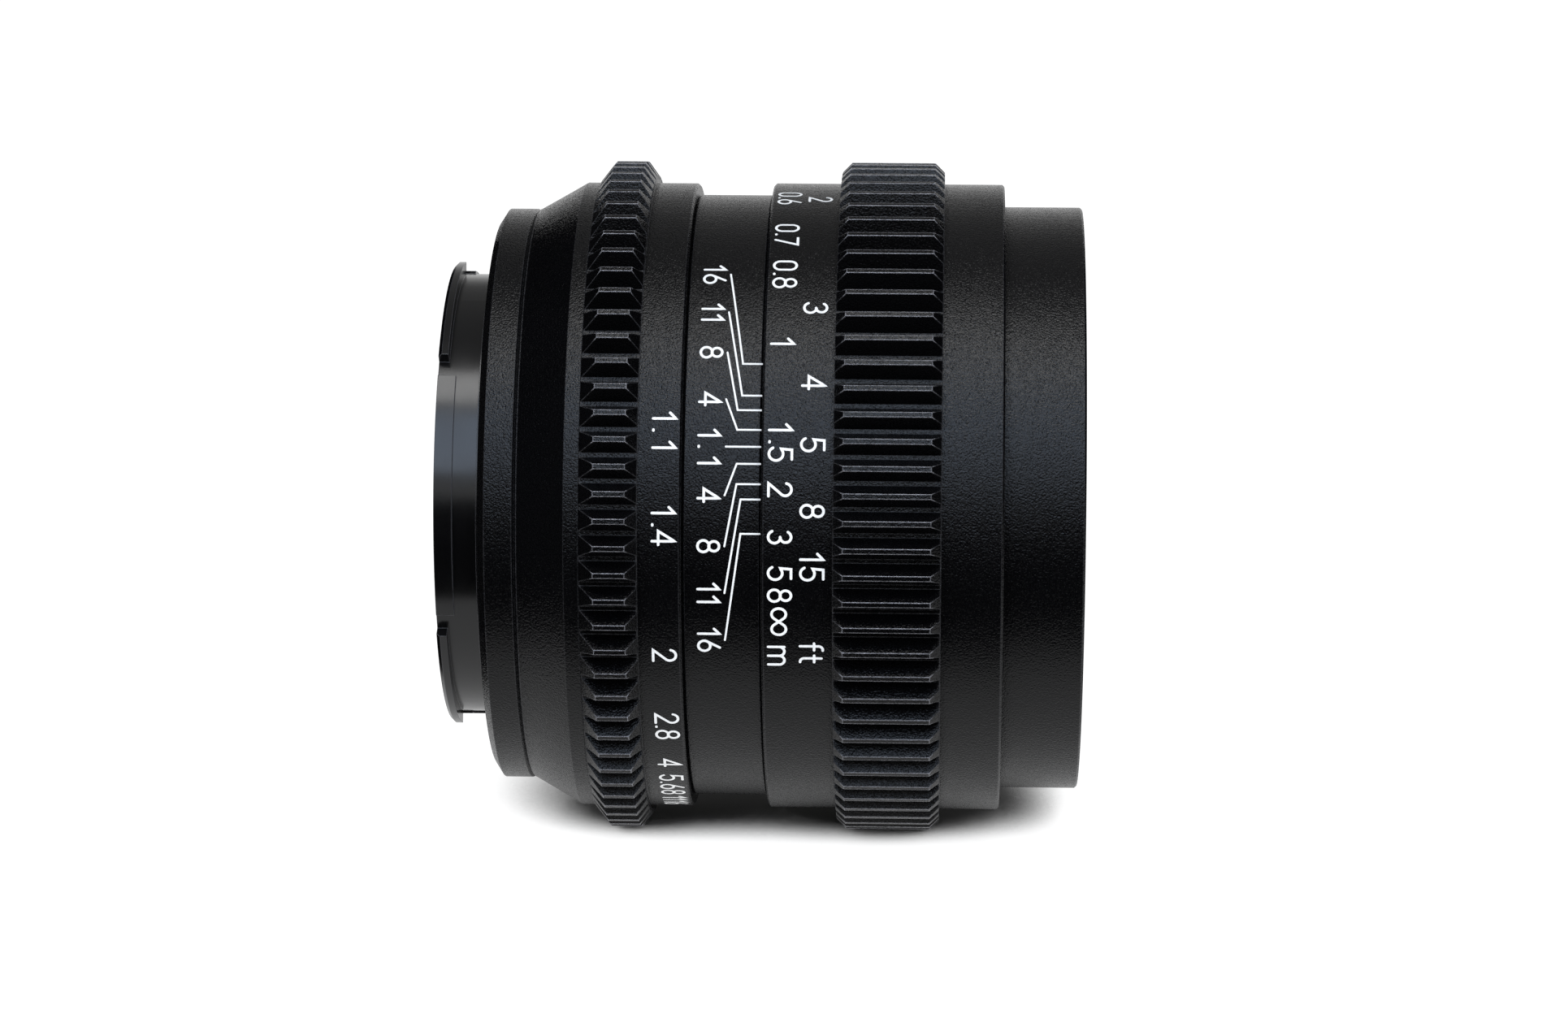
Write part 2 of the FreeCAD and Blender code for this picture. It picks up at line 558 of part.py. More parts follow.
def scale_ring():
    step = "scale_rear + guide_flange"
    ring = turned("scale_ring_turned", [
        ("scale_rear", "journal_radius"), ("scale_rear", "scale_radius - edge_bevel"),
        ("scale_rear + edge_bevel", "scale_radius"), ("scale_front - edge_bevel", "scale_radius"),
        ("scale_front", "scale_radius - edge_bevel"), ("scale_front", "guide_radius"),
        (step, "guide_radius"), (step, "journal_radius"),
    ])
    return boolean("Cut", "scale_ring", ring, scale_screws("scale_screw_holes"))


def scale_screws(name):
    return grub_screws(name, "scale_grub_place", "guide_radius", "scale_radius")


def straight_slot(name, rear, front):
    """A slot along the axis with round ends, for a roller."""
    wide = "(roller_radius + slot_gap)"
    parts = [block(f"{name}_run", rear, front, "tube_radius - overcut", "journal_radius", f"2 * {wide}")]
    for end, place in (("rear", rear), ("front", front)):
        parts.append(radial_rod(f"{name}_{end}", place, "tube_radius - overcut", "journal_radius", wide))
    return merged(name, parts)


def guide_tube():
    step = "scale_rear + guide_flange"
    body = turned("guide_tube_turned", [
        ("scale_rear", "guide_bore"), ("scale_rear", "journal_radius"), (step, "journal_radius"),
        (step, "guide_radius"), ("guide_front", "guide_radius"), ("guide_front", "guide_bore"),
    ])
    slot = straight_slot("guide_slot", "roller_place - travel_back - slot_room",
                         "roller_place + travel_front + slot_room")
    slots = copies("guide_slots", slot, even_turns("roller_count", "roller_turn"))
    return boolean("Cut", "guide_tube", body, slots)


def cam_sleeve():
    """The tube inside the focus ring. Its helical slots drive the rollers along the straight slots."""
    body = tube("cam_sleeve_turned", "sleeve_rear", "sleeve_front", "sleeve_bore", "sleeve_radius")
    lead = value("focus_lead")
    slope = math.cos(math.atan(lead / (2 * math.pi * value("sleeve_bore"))))
    width = 2 * (value("roller_radius") + value("slot_gap")) / slope
    end = math.degrees(value("(roller_radius + slot_room) / sleeve_bore"))
    # The focus ring's forward turn brings the rear end of a slot to its roller and sends the roller forward.
    band = helical_band(value("sleeve_bore - overcut"), value("sleeve_radius + overcut"),
                        -value("focus_front_turn") - end, value("focus_back_turn") + end, -lead, width)
    slot = doc.addObject("Part::Feature", "cam_slot")
    slot.Shape = band
    to_front = FreeCAD.Rotation(FreeCAD.Vector(0, 1, 0), 90)
    slot.Placement = FreeCAD.Placement(FreeCAD.Vector(value("roller_place") - width / 2, 0, 0),
                                       about_axis(180) * to_front)
    turns = even_turns("roller_count", "roller_turn")
    return boolean("Cut", "cam_sleeve", body, copies("cam_slots", slot, turns))


def focus_ring():
    tip = "tip_radius"
    ring = turned("focus_ring_toothed", [
        ("focus_rear", "sleeve_radius"), ("focus_rear", "focus_radius - edge_bevel"),
        ("focus_rear + edge_bevel", "focus_radius"), ("gear_rear", "focus_radius"),
        ("gear_rear", f"{tip} - focus_bevel"), ("gear_rear + focus_bevel", tip),
        ("gear_front - focus_bevel", tip), ("gear_front", f"{tip} - focus_bevel"),
        ("gear_front", "focus_radius"), ("focus_front - edge_bevel", "focus_radius"),
        ("focus_front", "focus_radius - edge_bevel"), ("focus_front", "sleeve_radius"),
    ])
    teeth(ring, "gear_rear", "gear_front")
    return boolean("Cut", "focus_ring", ring, focus_screws("focus_screw_holes"))


def focus_screws(name):
    return grub_screws(name, "focus_grub_place", "sleeve_radius", "focus_radius")


def roller_group(name, inner, outer, radius, bore=None):
    rod = radial_rod(f"{name}_rod", "roller_place", inner, outer, radius)
    if bore:
        hole = radial_rod(f"{name}_bore", "roller_place", inner, outer, bore)
        rod = boolean("Cut", f"{name}_bored", rod, hole)
    return copies(name, rod, even_turns("roller_count", "roller_turn"))


def lens_tube():
    body = tube("lens_tube_turned", "tube_rear", "web_front", "tube_bore", "tube_radius")
    return boolean("Cut", "lens_tube", body, roller_screws("lens_tube_holes"))


def roller_screws(name):
    return roller_group(name, "tube_bore + screw_depth", "sleeve_radius - screw_depth", "roller_screw_radius")


def front_barrel():
    return turned("front_barrel", [
        ("web_rear", "tube_radius"), ("web_rear", "front_radius"),
        ("lens_front - edge_bevel", "front_radius"),
        ("lens_front", "front_radius - edge_bevel"), ("lens_front", "filter_radius + edge_bevel"),
        ("lens_front - edge_bevel", "filter_radius"), ("front_cell_front", "filter_radius"),
        ("front_cell_front", "cell_seat_radius"), ("web_front", "cell_seat_radius"),
        ("web_front", "tube_radius"),
    ])


def front_cell():
    """The front tube of the optics, bored in steps for three elements and flanged over the lens tube."""
    third_bore = "third_glass_radius + glass_gap"
    second_bore = "second_glass_radius + glass_gap"
    first_bore = "front_glass_radius + glass_gap"
    spacer_seat = "spacer_radius + glass_gap"
    second_rear = "second_land - glass_gap"
    spacer_start = "second_land + cell_lip"
    ring_start = "front_ring_rear - cell_lip"
    return turned("front_cell", [
        ("front_cell_rear", "third_glass_radius - cell_lip"), ("front_cell_rear", "cell_radius"),
        ("web_front", "cell_radius"), ("web_front", "cell_seat_radius - slide_gap"),
        ("front_cell_front", "cell_seat_radius - slide_gap"),
        ("front_cell_front", "cell_seat_radius - front_mouth_wall"),
        ("front_ring_front", "front_ring_radius"),
        (ring_start, "front_ring_radius"), (ring_start, first_bore), ("front_land", first_bore),
        ("front_land", spacer_seat), (spacer_start, spacer_seat), (spacer_start, second_bore),
        (second_rear, second_bore), (second_rear, third_bore), ("third_land", third_bore),
        ("third_land", "third_glass_radius - cell_lip"),
    ])


def rear_cell():
    """The rear tube of the optics. Its flange has a window for the prong of the iris cam ring."""
    flange_rear = "tube_rear - rear_flange_thickness"
    fourth_bore = "fourth_glass_radius + glass_gap"
    fifth_bore = "fifth_glass_radius + glass_gap"
    sixth_bore = "sixth_glass_radius + glass_gap"
    lip = "sixth_glass_radius - cell_lip"
    fifth_seat = f"fifth_back_vertex + fifth_back_bend - sqrt(fifth_back_bend^2 - ({lip})^2) - glass_gap"
    sixth_seat = f"sixth_vertex - sixth_bend + sqrt(sixth_bend^2 - ({lip})^2) + glass_gap"
    body = turned("rear_cell_turned", [
        ("rear_cell_rear", sixth_bore), ("rear_cell_rear", "rear_neck_radius"),
        ("rear_neck_front", "rear_neck_radius"), ("rear_neck_front", "rear_cell_radius"),
        (flange_rear, "rear_cell_radius"), (flange_rear, "tube_radius"), ("tube_rear", "tube_radius"),
        ("tube_rear", fourth_bore), ("fifth_land + cement_gap", fourth_bore),
        ("fifth_land + cement_gap", fifth_bore), (fifth_seat, fifth_bore), (fifth_seat, lip),
        (sixth_seat, lip), (sixth_seat, sixth_bore),
    ])
    half = "(asin(prong_width / 2 / prong_inner) / 1 deg + window_room)"
    turn = f"key_turn - 2 * blade_turn - {half}"
    arc = f"2 * blade_turn + 2 * {half}"
    slice_rear = f"{flange_rear} - overcut"
    slice_length = "rear_flange_thickness + 2 * overcut"
    outer = sector("prong_window_slice", slice_rear, slice_length, "tube_bore", turn, arc)
    core = cylinder("prong_window_core", slice_rear, slice_length, "prong_inner - key_gap")
    return boolean("Cut", "rear_cell", body, boolean("Cut", "prong_window", outer, core))


def glass_elements():
    return [
        glass("front_element", "front_glass_radius", "front_land", ("front_vertex", "front_bend"),
              ("front_back_vertex", "front_back_bend")),
        glass("second_element", "second_glass_radius", "second_land", ("second_vertex", "second_bend"),
              ("second_back_vertex", "doublet_bend")),
        glass("third_element", "third_glass_radius", "third_land", ("third_vertex", "doublet_bend"),
              ("third_back_vertex", "third_back_bend")),
        glass("fourth_element", "fourth_glass_radius", "fourth_land", ("fourth_vertex", "-fourth_bend"),
              ("fourth_back_vertex", "-rear_doublet_bend")),
        glass("fifth_element", "fifth_glass_radius", "fifth_land", ("fifth_vertex", "-rear_doublet_bend"),
              ("fifth_back_vertex", "-fifth_back_bend")),
        glass("sixth_element", "sixth_glass_radius", "sixth_vertex", ("sixth_vertex", "sixth_bend"),
              ("sixth_back_vertex", "-sixth_back_bend")),
    ]


def front_retaining_ring():
    return turned("front_retaining_ring", [
        ("front_ring_rear", "front_ring_bore"), ("front_ring_rear", "front_ring_radius"),
        ("front_ring_front", "front_ring_radius"), ("front_ring_front", "front_glass_radius"),
    ])


def rear_retaining_ring():
    front = "sixth_back_vertex + sixth_back_bend - sqrt(sixth_back_bend^2 - rear_ring_bore^2) - glass_gap"
    return tube("rear_retaining_ring", f"{front} - rear_ring_length", front, "rear_ring_bore",
                "sixth_glass_radius")


baffle_rear = "baffle_sink - mount_reach"
pieces = [
    bayonet_mount(), mount_screws("mount_screws"), mount_collar(), rear_barrel(),
    tube("rear_baffle", baffle_rear, f"{baffle_rear} + baffle_thickness", "baffle_bore", "mount_bore"),
    aperture_ring(), key_screws("aperture_key_screw"), aperture_key(),
    scale_ring(), scale_screws("scale_ring_screws"), guide_tube(),
    tube("focus_retaining_ring", "retainer_rear", "guide_front", "guide_radius",
         "guide_radius + retainer_height"),
    focus_ring(), focus_screws("focus_grub_screws"), cam_sleeve(),
    front_barrel(), lens_tube(), roller_screws("roller_screws"),
    roller_group("guide_rollers", "tube_radius", "sleeve_radius - screw_depth", "roller_radius",
                 "roller_screw_radius"),
    front_cell(), front_retaining_ring(),
    tube("front_spacer", "spacer_rear", "front_land - glass_gap", "spacer_bore", "spacer_radius"),
    *glass_elements(),
    iris_base_ring(), iris_cam_ring(), *iris_blades(), rear_cell(), rear_retaining_ring(),
]
doc.recompute()

for item in doc.Objects:
    if "Invalid" in item.State or "Error" in item.State:
        raise RuntimeError(f"{item.Name} did not build: {item.State}")
for piece in pieces:
    shape = piece.Shape
    if shape.isNull() or not shape.isValid() or not shape.Solids:
        raise RuntimeError(f"{piece.Label} has no valid solid")
    shape.exportStep(f"parts/{piece.Label}.step")
    print(f"{piece.Label}: {len(shape.Solids)} solid, {shape.Volume:.1f} mm3")
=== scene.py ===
"""Finishes, engraved scales, threads and studio of a prime lens for filming."""
import math

import bmesh
import bpy
from mathutils import Matrix, Vector


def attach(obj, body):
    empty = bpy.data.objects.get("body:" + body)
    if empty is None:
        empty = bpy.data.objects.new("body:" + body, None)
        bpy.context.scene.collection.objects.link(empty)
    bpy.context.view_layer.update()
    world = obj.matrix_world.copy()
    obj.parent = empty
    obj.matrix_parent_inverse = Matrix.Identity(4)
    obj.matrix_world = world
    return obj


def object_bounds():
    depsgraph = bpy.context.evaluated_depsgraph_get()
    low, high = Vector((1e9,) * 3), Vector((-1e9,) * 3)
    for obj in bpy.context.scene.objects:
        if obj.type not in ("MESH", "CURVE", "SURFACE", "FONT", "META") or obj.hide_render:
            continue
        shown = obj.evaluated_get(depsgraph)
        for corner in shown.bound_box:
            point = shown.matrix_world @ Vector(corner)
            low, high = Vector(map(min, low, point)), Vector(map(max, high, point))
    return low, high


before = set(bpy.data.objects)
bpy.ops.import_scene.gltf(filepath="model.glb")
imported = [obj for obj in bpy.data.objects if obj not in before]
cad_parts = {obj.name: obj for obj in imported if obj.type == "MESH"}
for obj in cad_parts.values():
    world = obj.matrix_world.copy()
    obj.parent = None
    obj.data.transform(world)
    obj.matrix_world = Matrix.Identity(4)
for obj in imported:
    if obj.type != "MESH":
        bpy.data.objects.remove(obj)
cad_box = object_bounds()

bl_info = {
    "name": "Prime Lens Dressing",
    "version": (1, 0, 0),
    "blender": (4, 5, 0),
    "location": "View3D > Sidebar > Prime Lens",
    "description": "Finishes, engraved scales, threads and studio of a prime lens for filming",
    "category": "Object",
}

MM = 0.001


# Colours and properties

def linear(code):
    """Turn an sRGB hex colour such as #1b1b1d into linear red, green and blue."""
    parts = [int(code[i:i + 2], 16) / 255 for i in (1, 3, 5)]
    return tuple(c / 12.92 if c <= 0.04045 else ((c + 0.055) / 1.055) ** 2.4 for c in parts)


def size(name, millimetres, description):
    """A length that a user may change."""
    return bpy.props.FloatProperty(name=name, description=description, default=millimetres * MM,
                                   precision=5, unit="LENGTH")


def angle(name, degrees, description):
    """An angle that a user may change."""
    return bpy.props.FloatProperty(name=name, description=description, default=math.radians(degrees),
                                   subtype="ANGLE")


def colour(name, code, description):
    """A colour that a user may change."""
    return bpy.props.FloatVectorProperty(name=name, description=description, default=linear(code),
                                         size=3, min=0, max=1, subtype="COLOR")


class LensColours(bpy.types.PropertyGroup):
    """Colours of the finishes"""
    shell: colour("Anodised shell", "#040405", "Black anodised aluminium of the rings and the barrel")
    # The pale edge colour is partly rubbed wear and partly a painted highlight along edges and tooth crests
    edge: colour("Rubbed edge", "#a6a6ac", "Where the anodising is rubbed thin along an edge")
    mount: colour("Mount", "#060607", "Black plated brass of the bayonet")
    inner: colour("Inner black", "#0e0e0f", "Matt black of the cells and the baffle")
    tube: colour("Tube", "#1d1d20", "Anodised tubes inside the rings")
    screw: colour("Screw", "#2b2b2d", "Blackened steel of the screws")
    brass: colour("Brass", "#b08a46", "Turned brass of the guide rollers")
    blade: colour("Blade", "#1a1b1d", "Blackened spring steel of the iris blades")
    paint: colour("Paint", "#f0f1f1", "White paint in the engraved figures")
    outer_coat: colour("Outer coating", "#7c5a96", "Tint of the reflections from the outer elements")
    inner_coat: colour("Inner coating", "#5a8a74", "Tint of the reflections from the inner elements")


class EngravingSizes(bpy.types.PropertyGroup):
    """Sizes of the engraved scales"""
    stroke: size("Stroke", 0.25, "Width of the cutter for the figures")
    line: size("Line", 0.18, "Width of the cutter for the lines")
    proud: size("Paint height", 0.012, "How far the paint stands above the ring")
    depth: size("Engraving depth", 0.1, "How deep the paint goes into the ring")
    index: angle("Index", 17.65, "Place of the index line, up from the side that faces the camera")
    figure: size("Figure height", 2.4, "Height of the figures on the rings that turn")
    infinity: size("Infinity height", 2.5, "Height of the infinity mark and of the m beside it")
    small_figure: size("Small figure height", 2.28, "Height of the figures on the fixed ring")
    focus_ring: size("Focus ring", 31.1, "Radius of the focus ring under its scale")
    aperture_ring: size("Aperture ring", 31.05, "Radius of the aperture ring under its scale")
    fixed_ring: size("Fixed ring", 29.9, "Radius of the fixed ring under its scale")


class ThreadSizes(bpy.types.PropertyGroup):
    """Sizes of the filter thread"""
    radius: size("Filter radius", 25.6, "Radius of the bore that the filter thread is cut in")
    pitch: size("Filter pitch", 0.75, "Spacing of the filter thread")
    depth: size("Filter depth", 0.36, "Height of the filter thread's ridge")
    start: size("Filter start", 53.9, "Where the filter thread starts, from the flange")
    turns: bpy.props.FloatProperty(name="Filter turns", description="Turns of the filter thread",
                                   default=4.2, min=1)


class SocketSizes(bpy.types.PropertyGroup):
    """Sizes of the dark plates of painted shade that stand for the sockets in the mount screws"""
    count: bpy.props.IntProperty(name="Mount screws", description="How many screws hold the mount",
                                 default=3, min=1)
    circle: size("Screw circle", 22.52, "Radius of the circle that the mount screws stand on")
    turn: angle("First screw", 98, "Turn of the first mount screw from the top")
    place: size("Screw face", 0.3, "Where the faces of the screw heads lie, from the flange")
    radius: size("Socket radius", 0.3, "Radius of a socket over its corners")
    depth: size("Socket depth", 0.03, "Thickness of a socket's dark floor")


class StudioSizes(bpy.types.PropertyGroup):
    """Place of the camera and strength of the lamps"""
    distance: size("Camera distance", 471, "From the optical axis to the camera")
    along: size("Camera place", 45.18, "How far along the optical axis the camera stands")
    elevation: angle("Elevation", 9, "How far the camera looks down")
    yaw: angle("Yaw", 2.0245, "How far the camera turns towards the mount")
    pitch: angle("Pitch", 0.2235, "How far the camera tips below the axis")
    roll: angle("Roll", 0.54, "How far the camera leans")
    focal: bpy.props.FloatProperty(name="Focal length", description="Focal length for a 36 mm frame",
                                   default=108.2, min=10, unit="CAMERA")
    key: bpy.props.FloatProperty(name="Key power", description="Power of the high softbox",
                                 default=2.05, min=0, unit="POWER")
    fill: bpy.props.FloatProperty(name="Fill power", description="Power of the low softbox",
                                  default=2.1, min=0, unit="POWER")
    paper: colour("Paper", "#7c7c7c", "White paper that the lens lies on")


# Nodes

def add(tree, kind, inputs=None, **settings):
    """Add a node, set its properties, and link or fill the inputs named or numbered."""
    node = tree.nodes.new(kind)
    for name, setting in settings.items():
        setattr(node, name, setting)
    for name, given in (inputs or {}).items():
        if isinstance(given, bpy.types.NodeSocket):
            tree.links.new(given, node.inputs[name])
        else:
            node.inputs[name].default_value = given
    return node


def new_material(name):
    """A material with an empty node tree, and its tree."""
    material = bpy.data.materials.new(name)
    material.use_nodes = True
    material.node_tree.nodes.clear()
    return material, material.node_tree


def finished(tree, shader):
    """End a material with its shader."""
    add(tree, "ShaderNodeOutputMaterial", {"Surface": shader})


def rgba(values):
    """Red, green and blue with a full alpha."""
    return (*values, 1)


def noise(tree, grain, detail=2, roughness=0.5):
    """Noise whose grains are as wide as the given millimetres."""
    place = add(tree, "ShaderNodeTexCoord").outputs["Object"]
    return add(tree, "ShaderNodeTexNoise", {
        "Vector": place, "Scale": 1 / (grain * MM), "Detail": detail, "Roughness": roughness,
    }).outputs["Fac"]


def ranged(tree, value, low, high, start, end):
    """Map a value from one range to another."""
    return add(tree, "ShaderNodeMapRange", {
        "Value": value, "From Min": low, "From Max": high, "To Min": start, "To Max": end,
    }).outputs["Result"]


def rounded(tree, width):
    """The normal of faces whose edges are rounded off by the given millimetres."""
    return add(tree, "ShaderNodeBevel", {"Radius": width * MM}, samples=4).outputs["Normal"]


def edges(tree, width):
    """1 along sharp edges, as wide as the given millimetres, and 0 on open faces."""
    flat = add(tree, "ShaderNodeNewGeometry").outputs["Normal"]
    match = add(tree, "ShaderNodeVectorMath", {0: rounded(tree, width), 1: flat}, operation="DOT_PRODUCT")
    open_face = 0.995
    sharp_edge = 0.8
    return ranged(tree, match.outputs["Value"], open_face, sharp_edge, 0, 1)


def multiplied(tree, first, second):
    """The product of two values."""
    return add(tree, "ShaderNodeMath", {0: first, 1: second}, operation="MULTIPLY").outputs[0]


def reach(tree):
    """Distance from the optical axis."""
    place = add(tree, "ShaderNodeTexCoord").outputs["Object"]
    across = add(tree, "ShaderNodeVectorMath", {0: place, 1: (0, 1, 1)}, operation="MULTIPLY").outputs[0]
    return add(tree, "ShaderNodeVectorMath", {0: across}, operation="LENGTH").outputs["Value"]


def mixed(tree, factor, first, second):
    """Mix two colours, each a socket or red, green and blue."""
    first, second = [c if isinstance(c, bpy.types.NodeSocket) else rgba(c) for c in (first, second)]
    # The Mix node's colours go in at sockets 6 and 7 and come out at socket 2
    return add(tree, "ShaderNodeMix", {"Factor": factor, 6: first, 7: second}, data_type="RGBA").outputs[2]


def bumped(tree, height, strength, distance, normal=None):
    """The normal of a surface that rises by the given millimetres where the height is 1."""
    inputs = {"Height": height, "Strength": strength, "Distance": distance * MM}
    if normal:
        inputs["Normal"] = normal
    return add(tree, "ShaderNodeBump", inputs).outputs["Normal"]


# Finishes

def anodised_aluminium(colours):
    """Black anodised aluminium, blasted with fine beads before it was dyed: satin, with a fine
    grain, and paler along its edges, partly where fingers and gears have rubbed them and partly as a
    painted highlight on the crests of the teeth."""
    material, tree = new_material("anodised_aluminium_bead_blasted")
    # The beads leave dimples of about 0.1 mm, drawn coarser here so that they show in the render
    grain = noise(tree, 0.18, 1, 0.6)
    cloud = noise(tree, 14, 2)
    # Hands and gears touch only the crests of the teeth, which stand furthest from the axis; the pale edge
    # is strongest there, as rubbed wear and as a painted highlight along the crest lines
    crest_starts = 32.8 * MM
    crest_ends = 33.1 * MM
    on_crests = ranged(tree, reach(tree), crest_starts, crest_ends, 0.1, 1)
    patchy = ranged(tree, noise(tree, 0.5, 3, 0.7), 0.35, 0.65, 0.5, 1.9)
    wear_and_highlight = multiplied(tree, multiplied(tree, edges(tree, 0.16), patchy), on_crests)
    faded = [c * 1.35 for c in colours.shell]
    tone = mixed(tree, ranged(tree, cloud, 0.3, 0.7, 0, 1), colours.shell, faded)
    # Painted highlight: the pale edge colour and some metal brighten the edges, most of all the tooth
    # crests, over the real rubbed wear
    tone = mixed(tree, wear_and_highlight, tone, colours.edge)
    shader = add(tree, "ShaderNodeBsdfPrincipled", {
        "Base Color": tone, "Roughness": ranged(tree, grain, 0.3, 0.7, 0.14, 0.34),
        "Metallic": ranged(tree, wear_and_highlight, 0, 1, 0, 0.4), "Specular IOR Level": 0.26,
        "Normal": bumped(tree, grain, 1.0, 0.068, rounded(tree, 0.12)),
    })
    finished(tree, shader.outputs["BSDF"])
    return material


def anodised_tube(colours):
    """Black anodised aluminium as turned, with fine tool rings round the optical axis."""
    material, tree = new_material("anodised_aluminium_turned")
    place = add(tree, "ShaderNodeTexCoord").outputs["Object"]
    tool_feed = 0.3 * MM
    rings = add(tree, "ShaderNodeTexWave", {
        "Vector": place, "Scale": 1 / tool_feed / math.tau, "Distortion": 0.4, "Detail": 1,
    }, bands_direction="X").outputs["Fac"]
    # Sharp edges painted paler: wear and a painted highlight along them
    tone = mixed(tree, edges(tree, 0.1), colours.tube, [c * 0.4 for c in colours.edge])
    shader = add(tree, "ShaderNodeBsdfPrincipled", {
        "Base Color": tone, "Roughness": ranged(tree, rings, 0, 1, 0.3, 0.42), "Metallic": 0.2,
        "Normal": bumped(tree, rings, 0.2, 0.02),
    })
    finished(tree, shader.outputs["BSDF"])
    return material


def plated_mount(colours):
    """Brass plated in hard black chrome: smoother and glossier than the anodised rings, and paler
    along its edges, partly where they rub on the camera and partly as a painted highlight."""
    material, tree = new_material("brass_black_chromed")
    haze = noise(tree, 3, 3)
    # Painted highlight: the edges are painted paler, over the wear where they rub on the camera
    tone = mixed(tree, edges(tree, 0.1), colours.mount, [c * 0.3 for c in colours.edge])
    shader = add(tree, "ShaderNodeBsdfPrincipled", {
        "Base Color": tone, "Roughness": ranged(tree, haze, 0.3, 0.7, 0.17, 0.23),
        "Specular IOR Level": 0.48,
        "Normal": bumped(tree, noise(tree, 0.15, 3), 0.2, 0.01, rounded(tree, 0.1)),
    })
    finished(tree, shader.outputs["BSDF"])
    return material


def matt_paint(colours):
    """Matt black optical paint: rough, dry and slightly speckled, to swallow stray light."""
    material, tree = new_material("optical_paint_matt_black")
    speck = noise(tree, 0.3, 4, 0.7)
    tone = mixed(tree, ranged(tree, speck, 0.4, 0.7, 0, 1), colours.inner, [c * 2 for c in colours.inner])
    shader = add(tree, "ShaderNodeBsdfPrincipled", {
        "Base Color": tone, "Roughness": ranged(tree, speck, 0.3, 0.7, 0.65, 0.85),
        "Specular IOR Level": 0.3, "Normal": bumped(tree, speck, 0.4, 0.03),
    })
    finished(tree, shader.outputs["BSDF"])
    return material


def blackened_steel(colours):
    """Steel screws blackened in hot oxide: dark, oily and half glossy, paler along the edges, as rubbed wear
    and as a painted highlight.
    """
    material, tree = new_material("steel_black_oxide")
    # Painted highlight: the edges are painted paler, over the rubbed wear
    tone = mixed(tree, edges(tree, 0.06), colours.screw, colours.edge)
    shader = add(tree, "ShaderNodeBsdfPrincipled", {
        "Base Color": tone, "Roughness": ranged(tree, noise(tree, 0.8), 0.3, 0.7, 0.25, 0.4),
        "Metallic": 0.8, "Normal": bumped(tree, noise(tree, 0.2), 0.1, 0.01),
    })
    finished(tree, shader.outputs["BSDF"])
    return material


def turned_brass(colours):
    """Brass rollers as turned: yellow metal with a film of grease."""
    material, tree = new_material("brass_turned")
    film = noise(tree, 0.6, 3)
    tone = mixed(tree, ranged(tree, film, 0.3, 0.7, 0, 1), colours.brass, [c * 0.7 for c in colours.brass])
    shader = add(tree, "ShaderNodeBsdfPrincipled", {
        "Base Color": tone, "Metallic": 1.0, "Roughness": ranged(tree, film, 0.3, 0.7, 0.2, 0.35),
        "Normal": bumped(tree, noise(tree, 0.1), 0.1, 0.01),
    })
    finished(tree, shader.outputs["BSDF"])
    return material


def spring_steel(colours):
    """Blackened spring steel of the iris: thin rolled sheet with a dry, even sheen."""
    material, tree = new_material("spring_steel_blackened")
    rolled = noise(tree, 0.5, 3)
    tone = mixed(tree, ranged(tree, rolled, 0.3, 0.7, 0, 1), colours.blade, [c * 1.5 for c in colours.blade])
    shader = add(tree, "ShaderNodeBsdfPrincipled", {
        "Base Color": tone, "Metallic": 0.6, "Roughness": ranged(tree, rolled, 0.3, 0.7, 0.35, 0.45),
    })
    finished(tree, shader.outputs["BSDF"])
    return material


def coated_glass(name, tint):
    """Optical glass with several anti-reflection coats: clear, with faint coloured reflections that
    are a fraction as bright as those of bare glass."""
    material, tree = new_material(name)
    shader = add(tree, "ShaderNodeBsdfPrincipled", {
        "Base Color": (1, 1, 1, 1), "Roughness": 0.0, "IOR": 1.52, "Transmission Weight": 1.0,
        "Specular Tint": rgba(tint),
    })
    finished(tree, shader.outputs["BSDF"])
    return material


def engraving_paint(colours):
    """White engraving enamel, wiped into the cut figures: dry and slightly uneven."""
    material, tree = new_material("enamel_white_engraving")
    dry = noise(tree, 0.25, 2)
    tone = mixed(tree, ranged(tree, dry, 0.3, 0.7, 0, 1), colours.paint, [c * 0.86 for c in colours.paint])
    shader = add(tree, "ShaderNodeBsdfPrincipled", {
        "Base Color": tone, "Roughness": 0.55, "Specular IOR Level": 0.3,
    })
    finished(tree, shader.outputs["BSDF"])
    return material


def paper(studio):
    """White paper that glows evenly, as when lit from all round, with a painted shadow: the glow
    fades where ambient occlusion, leaned to the front, finds the lens keeping off the light from
    the front. Metal and glass see it a little dimmer."""
    material, tree = new_material("paper_white")
    glossy = add(tree, "ShaderNodeLightPath").outputs["Is Glossy Ray"]
    fibre = ranged(tree, noise(tree, 2, 3), 0.3, 0.7, 0.97, 1)
    lean = add(tree, "ShaderNodeCombineXYZ", {"X": 0, "Y": -0.94, "Z": 0.34}).outputs[0]
    shadow_reach = 40 * MM
    open_front = add(tree, "ShaderNodeAmbientOcclusion", {"Distance": shadow_reach, "Normal": lean},
                     samples=40).outputs["AO"]
    tone = add(tree, "ShaderNodeVectorMath", {0: studio.paper, "Scale": fibre}, operation="SCALE")
    diffuse = add(tree, "ShaderNodeBsdfDiffuse", {"Color": tone.outputs[0]}).outputs[0]
    # Painted shadow: the glow dims where the leaned ambient occlusion finds the lens close by
    white = ranged(tree, open_front, 0.5, 0.67, 0, 1)
    seen = ranged(tree, glossy, 0, 1, 1, 0.66)
    strength = multiplied(tree, seen, white)
    glow = add(tree, "ShaderNodeEmission", {"Color": (1, 1, 1, 1), "Strength": strength}).outputs[0]
    finished(tree, add(tree, "ShaderNodeAddShader", {0: diffuse, 1: glow}).outputs[0])
    return material


# Meshes

